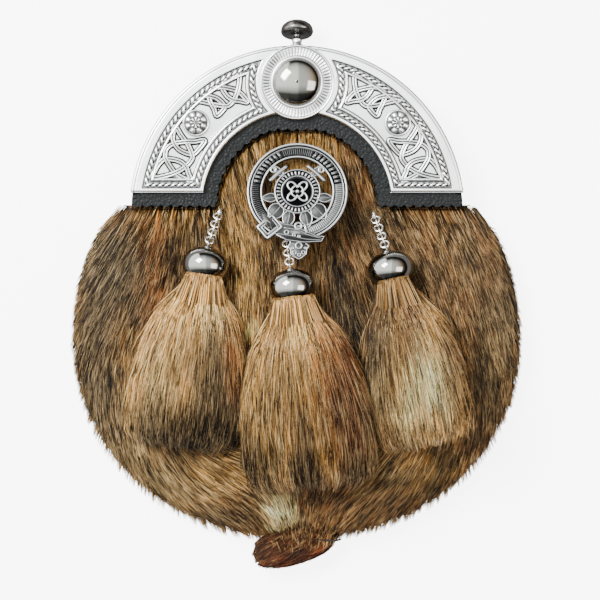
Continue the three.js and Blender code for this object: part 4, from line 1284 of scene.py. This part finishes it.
def grow(surface, roots, lengths, flow, sunk, lift, wander):
    """Strands that start below the surface and lie along the flow, up to a little above it."""
    p = roots.copy()
    spines = np.zeros((len(roots), SPINE, 3))
    for k in range(SPINE):
        share = k / (SPINE - 1)
        z = surface.at(p) - sunk * (1 - share) ** 1.4 + lift * share
        spines[:, k] = np.column_stack([p, z])
        direction = flow(p)
        turn = wander * (0.4 + share)
        c, s = np.cos(turn)[:, None], np.sin(turn)[:, None]
        direction = np.column_stack([direction[:, :1] * c - direction[:, 1:] * s,
                                     direction[:, :1] * s + direction[:, 1:] * c])
        slope = (surface.at(p + direction * SLOPE_STEP) - surface.at(p)) / SLOPE_STEP
        step = (lengths / (SPINE - 1) / np.sqrt(1 + np.clip(slope, -2.5, 2.5) ** 2))[:, None]
        p = p + direction * step
    return spines


def nearest_of(points, chosen):
    """For each point, which of the chosen ones is nearest."""
    tree = KDTree(len(chosen))
    for i, index in enumerate(chosen):
        tree.insert((*points[index], 0.0), i)
    tree.balance()
    return np.array([tree.find((x, y, 0.0))[1] for x, y in points])


def clumped(spines, roots, gather, per_clump):
    """Pulls strands together towards the tips of their clump's leading strand."""
    leaders = random.choice(len(roots), max(len(roots) // per_clump, 1), replace=False)
    clump = nearest_of(roots, leaders)
    share = (np.arange(SPINE) / (SPINE - 1)) ** 1.3
    pull = (gather * share)[None, :, None]
    return spines + (spines[leaders[clump]] - spines) * pull, clump, leaders


# Along a strand, at each of its points: its share of the full width, and of the way from the root's
# colour to the tip's.
STRAND_STEPS = ((0.75, 0.0), (1.0, 0.4), (0.62, 0.8), (0.0, 1.0))


def add_colours(piece, colours):
    """Each point's own hair colour."""
    colours = np.column_stack([colours, np.ones(len(colours))])
    tint = piece.data.attributes.new("hair_colour", "FLOAT_COLOR", "POINT")
    tint.data.foreach_set("color", colours.astype(np.float32).ravel())


def add_map(piece, places):
    """The map, one cell for each strand, to bake the hair colour into."""
    corner = np.zeros(len(piece.data.loops), np.int32)
    piece.data.loops.foreach_get("vertex_index", corner)
    layer = piece.data.uv_layers.new(name="OFBake")
    layer.data.foreach_set("uv", places[corner].astype(np.float32).ravel())


def strand_mesh(name, spines, widths, root_colour, tip_colour, roll):
    """Ribbons of two quads and a pointed end. The map holds one cell for each strand."""
    count = len(spines)
    along = unit(spines[:, -1] - spines[:, 0])
    across = unit(np.cross(along, UP))
    lifted = np.cross(across, along)
    side = across * np.cos(roll)[:, None] + lifted * np.sin(roll)[:, None]
    points, colours, maps = [], [], []
    cells = int(math.ceil(math.sqrt(count)))
    cell = np.stack([np.arange(count) % cells, np.arange(count) // cells], 1) / cells
    for k, (wide, shade) in enumerate(STRAND_STEPS):
        colour = root_colour * (1 - shade) + tip_colour * shade
        for sign in (-1, 1) if wide else (0,):
            points.append(spines[:, k] + side * (widths * wide * sign / 2)[:, None])
            colours.append(colour)
            maps.append(cell + np.array([0.5 + sign * STRAND_UV / 2, 0.1 + STRAND_UV * shade]) / cells)
    each = len(points)
    start = np.arange(count)[:, None] * each
    faces = [start + [0, 1, 3, 2], start + [2, 3, 5, 4], start + [4, 5, 6]]
    quads = np.concatenate(faces[:2])
    piece = make_mesh(name, np.stack(points, 1).reshape(-1, 3), [quads, faces[2]])
    add_colours(piece, np.stack(colours, 1).reshape(-1, 3))
    add_map(piece, np.stack(maps, 1).reshape(-1, 2))
    return piece


CHART_SPREAD = 2.0  # how far off its place a clump reads the colour chart
HAIR_SHADES = {"clump": 0.46, "strand": 0.55, "tuft": 0.32, "root": 0.25, "dark_tips": 0.3}


def clump_charts(spines, leaders, clump, patches, base, size):
    """Chart colours at the roots and near the tips. A clump reads them a little off its place, so that
    patches break into tufts."""
    ripple = Ripple(size)
    offset = (CHART_SPREAD * random.normal(size=(len(leaders), 2)))[clump]
    places = spines[:, 0, :2], spines[:, 2:, :2].mean(1)
    return [charted(p * 0.4 + p[leaders[clump]] * 0.6 + offset, patches, base, ripple) for p in places]


def strand_colours(charts, clump, clumps, look):
    """Root and tip colours: each clump and each strand is a little off the chart's colour, and some
    strands are pale or deep."""
    count = len(clump)
    clump_tone = HAIR_SHADES["clump"] * random.normal(size=clumps)[clump]
    tone = 0.88 + clump_tone + HAIR_SHADES["strand"] * random.normal(size=count)
    tone = np.clip(tone, 0.15, 2.6)[:, None]
    kind = random.random(count)
    pale = (kind < look["pale"])[:, None]
    deep = (kind > 1 - look["deep"])[:, None]
    dark_tip = (random.random(clumps) < HAIR_SHADES["dark_tips"])[clump][:, None]

    def toned(chart):
        colour = chart * tone
        bright = HAIR["cream"] * 0.6 * (0.3 + chart.mean(1) * 3.0)[:, None]
        colour = np.where(pale, colour * 0.5 + bright, colour)
        return np.where(deep, colour * 0.16, colour)

    root, tip = (toned(chart) for chart in charts)
    tip = np.where(dark_tip & ~pale, tip * 0.4, tip * 1.3)
    return np.clip(root * HAIR_SHADES["root"], 0, 1), np.clip(tip, 0, 1)


def clear_of_bells(spines):
    """Which strands don't lie over a bell."""
    clear = np.ones(len(spines), bool)
    for t in TASSELS:
        down = lean_direction(t["lean"])
        centre = bell_place(t)
        away = spines[..., :2] - centre[:2]
        along, across = away @ down, away @ quarter_turned(down)
        far = (across / BELL["radius"]) ** 2 + (along / BELL["half_height"]) ** 2
        top = centre[2] + BELL["radius"] * np.sqrt(np.clip(1 - far, 0, 1)) - 1.0
        clear &= ~((far < 1) & (along < MOUTH) & (spines[..., 2] > top)).any(1)
    return clear


def hairy(name, surface, roots, flow, patches, base, look, limit=None):
    """One piece of fur: roots, growth, clumps, colours and the mesh. Tips stay where limit is true."""
    count = len(roots)
    lengths = look["length"] * random.uniform(0.65, 1.25, count)
    for _ in range(6 if limit else 0):
        tips = roots + flow(roots) * lengths[:, None] * random.uniform(0.9, 1.0, (count, 1))
        lengths = np.where(limit(tips), lengths, lengths * 0.78)
    wander = np.radians(look["wander"]) * random.normal(size=count)
    lift = random.uniform(*look["lift"], count)
    sunk = look["sunk"] * random.uniform(0.7, 1.2, count)
    spines = grow(surface, roots, lengths, flow, sunk, lift, wander)
    spines, clump, leaders = clumped(spines, roots, look["gather"], look["per_clump"])
    spines, big, big_leaders = clumped(spines, roots, look["gather"] * 0.3, look["per_clump"] * 7)
    charts = clump_charts(spines, leaders, clump, patches, base, look["ripple"])
    tuft = 1 + HAIR_SHADES["tuft"] * random.normal(size=len(big_leaders))[big]
    charts = [chart * np.clip(tuft, 0.4, 1.8)[:, None] for chart in charts]
    root_colour, tip_colour = strand_colours(charts, clump, len(leaders), look)
    widths = look["width"] * random.uniform(0.7, 1.35, count)
    roll = np.radians(random.uniform(-55, 55, count))
    spines[..., 2] = np.maximum(spines[..., 2], 0.3)
    keep = clear_of_bells(spines)
    kept = (a[keep] for a in (spines, widths, root_colour, tip_colour, roll))
    return finish_piece(strand_mesh(name, *kept), COAT)


def scattered(count, low, high, keep):
    """Random points of a rectangle for which keep is true."""
    found = np.zeros((0, 2))
    while len(found) < count:
        p = random.uniform(low, high, (count, 2))
        found = np.concatenate([found, p[keep(p)]])
    return found[:count]


LEG_FUR_Y = 42.0  # how far up the fur comes beside the cantle's legs
LOWEST_HIDE_Z = 0.4


def shrunk_copy(name, node, by, top_only=False):
    """A copy of a CAD soft form, drawn in below its hair."""
    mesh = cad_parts[node].data.copy()
    mesh.name = name
    normals = np.zeros(len(mesh.vertices) * 3)
    places = np.zeros(len(mesh.vertices) * 3)
    mesh.vertices.foreach_get("normal", normals)
    mesh.vertices.foreach_get("co", places)
    normals, places = normals.reshape(-1, 3), places.reshape(-1, 3)
    amount = np.full(len(places), by * MM)
    if top_only:
        x, y = places[:, 0] / MM, places[:, 1] / MM - SHIFT_Y
        outer = normals[:, 2] > 0.15
        edge = (reach_of(x, y) > 0.965) & (places[:, 2] > 0.002)
        amount = np.where(outer | edge, amount, 0.0)
    places = places - normals * amount[:, None]
    if top_only:
        leg_top = (LEG_FUR_Y + SHIFT_Y) * MM
        beside_legs = (np.abs(places[:, 0]) > LIP["leg_x"] * MM) & (places[:, 1] > leg_top)
        places[beside_legs, 1] = leg_top
    places[:, 2] = np.maximum(places[:, 2], LOWEST_HIDE_Z * MM)
    mesh.vertices.foreach_set("co", places.ravel())
    mesh.update()
    return added(name, mesh)


# ---- The coat of the pouch ----

COAT_LOOK = {"length": 15.0, "wander": 7.0, "lift": (-0.5, 1.3), "sunk": 4.5, "gather": 0.42,
             "per_clump": 11, "ripple": 7.0, "width": 0.32, "pale": 0.22, "deep": 0.3}
COAT_COUNT = 86000
BARE_UNDER_CANTLE = 3.0  # how far in under the lip the fur reaches before the hide is bare


def shows(p):
    """Roots that the cantle and the lip don't hide."""
    x, y = p[:, 0], p[:, 1]
    inside = reach_of(x, y) < 0.985
    opening = LIP["radius"] + BARE_UNDER_CANTLE
    under_arch = (np.hypot(x, y - CANTLE["inner_y"]) > opening) & (y > CANTLE["leg_y"] - 4)
    foot = CANTLE["leg_y"] - LIP["reach"] + BARE_UNDER_CANTLE
    under_legs = (y > foot) & (np.abs(x) > opening) & (np.abs(x) < LIP["leg_x"])
    beside_legs = (np.abs(x) > LIP["leg_x"]) & (y > LEG_FUR_Y)
    return inside & ~under_arch & ~under_legs & ~beside_legs


coat_surface = HeightMap("fur_body", 1.5)
coat_roots = scattered(COAT_COUNT, (-104, -112), (104, 84), shows)
coat_roots = coat_roots[np.argsort(coat_roots[:, 0])]
for part, roots in zip(("left", "mid_left", "mid_right", "right"), np.array_split(coat_roots, 4)):
    hairy("fur_coat_" + part, coat_surface, roots, coat_flow, COAT_PATCHES, "ochre", COAT_LOOK)

finish_piece(shrunk_copy("fur_hide", "fur_body", 4.0, top_only=True), HIDE, ["fur_body"])

RIM_LOOK = {"length": (6, 15), "gather": 0.6, "per_clump": 16, "ripple": 7.0, "width": 0.28,
            "pale": 0.35, "deep": 0.05}
RIM_COUNT = 12000
RIM_RADIUS = 98.0  # the outline's distance from the middle, about


def rim_hair():
    """Hair round the rim and on the turned-under edge, outwards and down to the surface it lies on."""
    look = RIM_LOOK
    angle = random.uniform(0, 2 * np.pi, RIM_COUNT)
    level = random.uniform(-1, 1, RIM_COUNT)  # below 0 on the flat underside, above 0 up the side
    reach = np.where(level < 0, 0.945 + 0.1 * level, 0.955 + 0.025 * level)
    root_z = np.where(level < 0, 0.9, 0.9 + 7.5 * level)
    root = outline_point(angle, reach)
    outward = unit(outline_point(angle, reach + 0.02) - root)
    flow = unit(coat_flow(root) * 1.5 + outward)
    away = np.clip((flow * outward).sum(1), 0.25, 1)
    lower = np.clip(-root[:, 1] / 60, 0, 1)
    room = (1.012 + 0.025 * lower - reach) * RIM_RADIUS / away
    length = np.minimum(random.uniform(*look["length"], RIM_COUNT), room)
    low = np.where(level < 0, random.uniform(0.35, 1.0, RIM_COUNT),
                   root_z * random.uniform(0.55, 1.05, RIM_COUNT))
    spines = np.zeros((RIM_COUNT, SPINE, 3))
    for k in range(SPINE):
        share = k / (SPINE - 1)
        spines[:, k, :2] = root + flow * (length * share)[:, None]
        spines[:, k, 2] = root_z + (low - root_z) * share**1.5
    keep = root[:, 1] < CANTLE["leg_y"] - 14
    spines, clump, leaders = clumped(spines, root, look["gather"], look["per_clump"])
    charts = clump_charts(spines, leaders, clump, COAT_PATCHES, "olive", look["ripple"])
    root_colour, tip_colour = strand_colours(charts, clump, len(leaders), look)
    root_colour = root_colour * 3
    tip_colour = tip_colour * 0.6 + HAIR["blond"] * 0.25
    widths = look["width"] * random.uniform(0.7, 1.3, RIM_COUNT)
    roll = np.radians(random.uniform(-60, 60, RIM_COUNT))
    return strand_mesh("fur_rim", *(a[keep] for a in (spines, widths, root_colour, tip_colour, roll)))


finish_piece(rim_hair(), COAT)


# ---- Tassels ----

# Hairs from the mouth, which are a share of all, start in the bell and are the long ones.
TASSEL_LOOK = {"wander": 4.0, "lift": (-0.4, 1.0), "sunk": 2.6, "gather": 0.36, "per_clump": 14,
               "ripple": 5.0, "width": 0.32, "pale": 0.26, "deep": 0.28,
               "from_mouth": 0.2, "long": (20, 46), "short": (15, 32)}
TASSEL_COUNT = 11500


def tassel_frame(t, p):
    """How far along a tassel each point is, as a share of its length, and how far across, in millimetres."""
    down = lean_direction(t["lean"])
    away = p - [t["x"], t["y"]]
    along = away @ down - MOUTH
    return along / t["length"], away @ quarter_turned(down)


def half_width(t, along):
    """Half of a tassel's width at a share of its length."""
    return np.interp(along, TASSEL_ALONG, TASSEL_WIDTH) * t["width"] / 2


def tassel_flow(t, p):
    """The direction of a tassel's hair, which spreads as its outline does."""
    down = lean_direction(t["lean"])
    along, across = tassel_frame(t, p)
    here, ahead = half_width(t, along), half_width(t, along + 0.02)
    spread = (ahead - here) / (0.02 * t["length"])
    lean = np.clip(across / np.maximum(here, 1), -1.1, 1.1) * (spread + 0.03)
    return unit(down[None] + quarter_turned(down)[None] * lean[:, None])


def tassel_hair(t):
    """The hair of a tassel, with its longest strands from the bell's mouth."""
    look, count = TASSEL_LOOK, TASSEL_COUNT
    down = lean_direction(t["lean"])
    surface = HeightMap("tassel_" + t["side"], 1.0, margin=5.0, fall=1.6, blur=1)
    from_mouth = random.random(count) < look["from_mouth"]
    along = np.where(from_mouth, random.uniform(-0.024, 0.0, count), random.uniform(0.0, 0.86, count))
    across = random.uniform(-0.99, 0.99, count)
    roots = (np.array([t["x"], t["y"]]) + down * (MOUTH + along * t["length"])[:, None]
             + quarter_turned(down) * (across * half_width(t, along))[:, None])
    lengths = np.where(from_mouth, random.uniform(*look["long"], count),
                       random.uniform(*look["short"], count))
    ends = 1.0 + 0.05 * random.normal(size=count) - 0.07 * np.abs(across) ** 3
    lengths = np.maximum(np.minimum(lengths, (ends - along) * t["length"]), 5.0)
    wander = np.radians(look["wander"]) * random.normal(size=count)
    lift = random.uniform(*look["lift"], count)
    sunk = look["sunk"] * random.uniform(0.5, 1.2, count)
    spines = grow(surface, roots, lengths, lambda p: tassel_flow(t, p), sunk, lift, wander)
    spines, clump, leaders = clumped(spines, roots, look["gather"], look["per_clump"])
    # At the mouth the hair swells over the bell's lip.
    over = BELL["radius"] * 0.9 + bell_place(t)[2] - (across * half_width(t, along)) ** 2 / 16
    spines[from_mouth, 0, 2] = np.maximum(spines[from_mouth, 0, 2], over[from_mouth])
    charts = clump_charts(spines, leaders, clump, TASSEL_PATCHES[t["side"]], "gold", look["ripple"])
    root_colour, tip_colour = strand_colours(charts, clump, len(leaders), look)
    brighter = np.where(from_mouth, 3.6, 1.8)[:, None]
    widths = look["width"] * random.uniform(0.7, 1.35, count)
    roll = np.radians(random.uniform(-50, 50, count))
    return strand_mesh(f"tassel_{t['side']}_hair", spines, widths, root_colour * brighter, tip_colour, roll)


CORE_SHARE = 0.84  # how much of a tassel's length its core keeps


def shorten(core, t):
    """Draws a tassel's core up from the loose ends of its hair."""
    down = np.array([*lean_direction(t["lean"]), 0])
    foot = np.array([t["x"], t["y"], 0]) + down * MOUTH
    for vertex in core.data.vertices:
        place = drawn(vertex.co)
        along = (place - foot) @ down
        if along > 0:
            vertex.co = placed(place - down * along * (1 - CORE_SHARE))


for t in TASSELS:
    finish_piece(tassel_hair(t), TASSEL_COAT)
    core = shrunk_copy(f"tassel_{t['side']}_core", "tassel_" + t["side"], 3.0)
    shorten(core, t)
    finish_piece(core, TASSEL_HIDE, ["tassel_" + t["side"]])


# ---- The tail tuft ----

TAIL_LOOK = {"length": 15.0, "wander": 9.0, "lift": (-0.3, 1.8), "sunk": 2.0, "gather": 0.6,
             "per_clump": 14, "ripple": 5.0, "width": 0.34, "pale": 0.06, "deep": 0.2}
TAIL_COUNT = 6000
TAIL = {"x": -0.5, "y": -114.8, "long": 20.5, "wide": 9.6, "turn": 17.0, "power": 2.8, "lean": -58.0}
OVERLAP_COUNT = 900  # hairs of the coat's edge that fall over the tail


def tail_flow(p):
    """The tail's hairs all lie one way."""
    return np.tile(lean_direction(TAIL["lean"]), (len(p), 1))


def tail_reach(p):
    """0 in the middle of the tail and 1 at its blunt outline."""
    turn = math.radians(TAIL["turn"])
    away = p - [TAIL["x"], TAIL["y"]]
    along = away @ [math.cos(turn), math.sin(turn)]
    across = away @ [-math.sin(turn), math.cos(turn)]
    power = TAIL["power"]
    return (np.abs(along / TAIL["long"]) ** power + np.abs(across / TAIL["wide"]) ** power) ** (1 / power)


def over_the_tail(p):
    """Roots on the coat's lower edge, beside and behind the tail."""
    return (tail_reach(p) < 1.1) & (reach_of(p[:, 0], p[:, 1]) < 1.0) & (p[:, 1] < -98)


tail_surface = Higher(HeightMap("fur_tail", 1.0, margin=5.0), coat_surface)
tail_roots = scattered(TAIL_COUNT, (-26, -132), (26, -98), lambda p: tail_reach(p) < 0.94)
hairy("fur_tail_hair", tail_surface, tail_roots, tail_flow, TAIL_PATCHES, "tail", TAIL_LOOK,
      limit=lambda p: tail_reach(p) < random.uniform(0.96, 1.08, len(p)))
overlap_roots = scattered(OVERLAP_COUNT, (-26, -112), (26, -98), over_the_tail)
hairy("fur_coat_over_tail", tail_surface, overlap_roots, coat_flow, COAT_PATCHES, "ochre",
      COAT_LOOK | {"length": 9.0, "lift": (0.4, 2.4)})
finish_piece(shrunk_copy("fur_tail_core", "fur_tail", 3.4), HIDE, ["fur_tail"])


# ---- Leather and strap fittings, which keep their CAD shapes ----

def softened(node, material, width):
    """Gives a CAD node a better material and rounded edges."""
    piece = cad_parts[node]
    piece.data.materials.clear()
    piece.data.materials.append(material)
    bevel = piece.modifiers.new("rounded_edges", "BEVEL")
    bevel.width = width * MM
    bevel.segments = 2
    bevel.angle_limit = math.radians(50)


softened("leather_lip", BLACK_LEATHER, 0.35)
softened("back_panel", BACK_LEATHER, 0.4)
for side_name in ("left", "right"):
    softened("strap_ring_" + side_name, STEEL, 0.4)
    softened("strap_tab_" + side_name, BACK_LEATHER, 0.25)


# ---- The floor and the light ----

FLOOR = {"half": 3.0, "z": -0.0004, "glow": 6.0}  # half its side and its height, in metres, and its light
FLOOR_GLOW_IN_GLOSS = 0.3  # the metal sees darker surroundings than the white paper


def white_floor():
    """White paper that gives light of its own."""
    half = FLOOR["half"]
    corners = [(-half, -half, 0), (half, -half, 0), (half, half, 0), (-half, half, 0)]
    mesh = bpy.data.meshes.new("floor")
    mesh.from_pydata(corners, [], [(0, 1, 2, 3)])
    floor = added("floor", mesh)
    floor.location.z = FLOOR["z"]
    s = Surface("floor_white")
    s.shader.inputs["Emission Color"].default_value = (1, 1, 1, 1)
    grain = s.noise(300.0)
    in_gloss = s.node("LightPath").outputs["Is Glossy Ray"]
    white = s.mixed(grain, (0.9, 0.9, 0.9, 1), (0.94, 0.94, 0.94, 1))
    mesh.materials.append(s.finish(
        Base_Color=s.mixed(in_gloss, white, (0.06, 0.05, 0.045, 1)),
        Roughness=s.spread(grain, 0.75, 0.85),
        Emission_Strength=s.ranged(in_gloss, 0.0, 1.0, FLOOR["glow"], FLOOR_GLOW_IN_GLOSS),
    ))
    return floor


white_floor()

CENTRE = Vector((0, 0, 0.02))  # what the lights point at


def soft_light(name, place, size, watts):
    """A rectangular light of one size, in metres, that points at the centre."""
    light = bpy.data.lights.new(name, "AREA")
    light.shape = "RECTANGLE"
    light.size, light.size_y = size
    light.energy = watts
    lamp = added(name, light)
    lamp.location = place
    lamp.rotation_euler = (CENTRE - Vector(place)).to_track_quat("-Z", "Y").to_euler()


soft_light("key_light", (-0.8, 0.7, 1.2), (0.7, 0.6), 60)
soft_light("fill_light", (1.1, -0.1, 1.2), (0.7, 0.9), 16)

SKY = {"zenith": 5.2, "left": 5.2, "diffuse_share": 0.17}


def sky_light(node, x, y, z):
    """How bright the sky is in a direction: the ceiling or the left wall, dimmed on two other sides."""
    ceiling = node("MapRange", _0=z, _1=0.2, _2=0.97, _3=0.06, _4=SKY["zenith"])
    ceiling.interpolation_type = "SMOOTHSTEP"
    left = node("MapRange", _0=x, _1=-0.3, _2=-0.42, _3=0.0, _4=SKY["left"])
    foot = node("MapRange", _0=y, _1=-0.08, _2=-0.5, _3=1.0, _4=0.05)
    shade = node("MapRange", _0=x, _1=0.0, _2=0.12, _3=1.0, _4=0.5)
    light = node("Math", _0=ceiling.outputs[0], _1=left.outputs[0])
    light.operation = "MAXIMUM"
    for dimmer in (foot, shade):
        light = node("Math", _0=light.outputs[0], _1=dimmer.outputs[0])
        light.operation = "MULTIPLY"
    return light.outputs[0]


def sky_tint(node, x):
    """White, and brown on the right."""
    right = node("MapRange", _0=x, _1=0.3, _2=0.75, _3=0.0, _4=1.0)
    tint = node("Mix", _0=right.outputs[0], _6=(0.96, 1.0, 0.98, 1), _7=(1.0, 0.8, 0.6, 1))
    tint.data_type = "RGBA"
    return tint.outputs[2]


def studio_sky():
    """A soft white ceiling over darker walls: pale on the left, brown on the right, black at the foot."""
    world = bpy.data.worlds.new("studio")
    bpy.context.scene.world = world
    world.use_nodes = True
    tree = world.node_tree

    def node(kind, **inputs):
        """A new node. Its inputs go by number, and _0 is the first."""
        made = tree.nodes.new("ShaderNode" + kind)
        for key, value in inputs.items():
            socket = made.inputs[int(key[1:])]
            if isinstance(value, bpy.types.NodeSocket):
                tree.links.new(value, socket)
            else:
                socket.default_value = value
        return made

    x, y, z = node("SeparateXYZ", _0=node("TexCoord").outputs["Generated"]).outputs
    diffuse = node("LightPath").outputs["Is Diffuse Ray"]
    share = node("MapRange", _0=diffuse, _3=1.0, _4=SKY["diffuse_share"])
    strength = node("Math", _0=sky_light(node, x, y, z), _1=share.outputs[0])
    strength.operation = "MULTIPLY"
    background = tree.nodes["Background"]
    tree.links.new(sky_tint(node, x), background.inputs["Color"])
    tree.links.new(strength.outputs[0], background.inputs["Strength"])


studio_sky()


# ---- The scene brought up to date ----

bpy.context.view_layer.update()
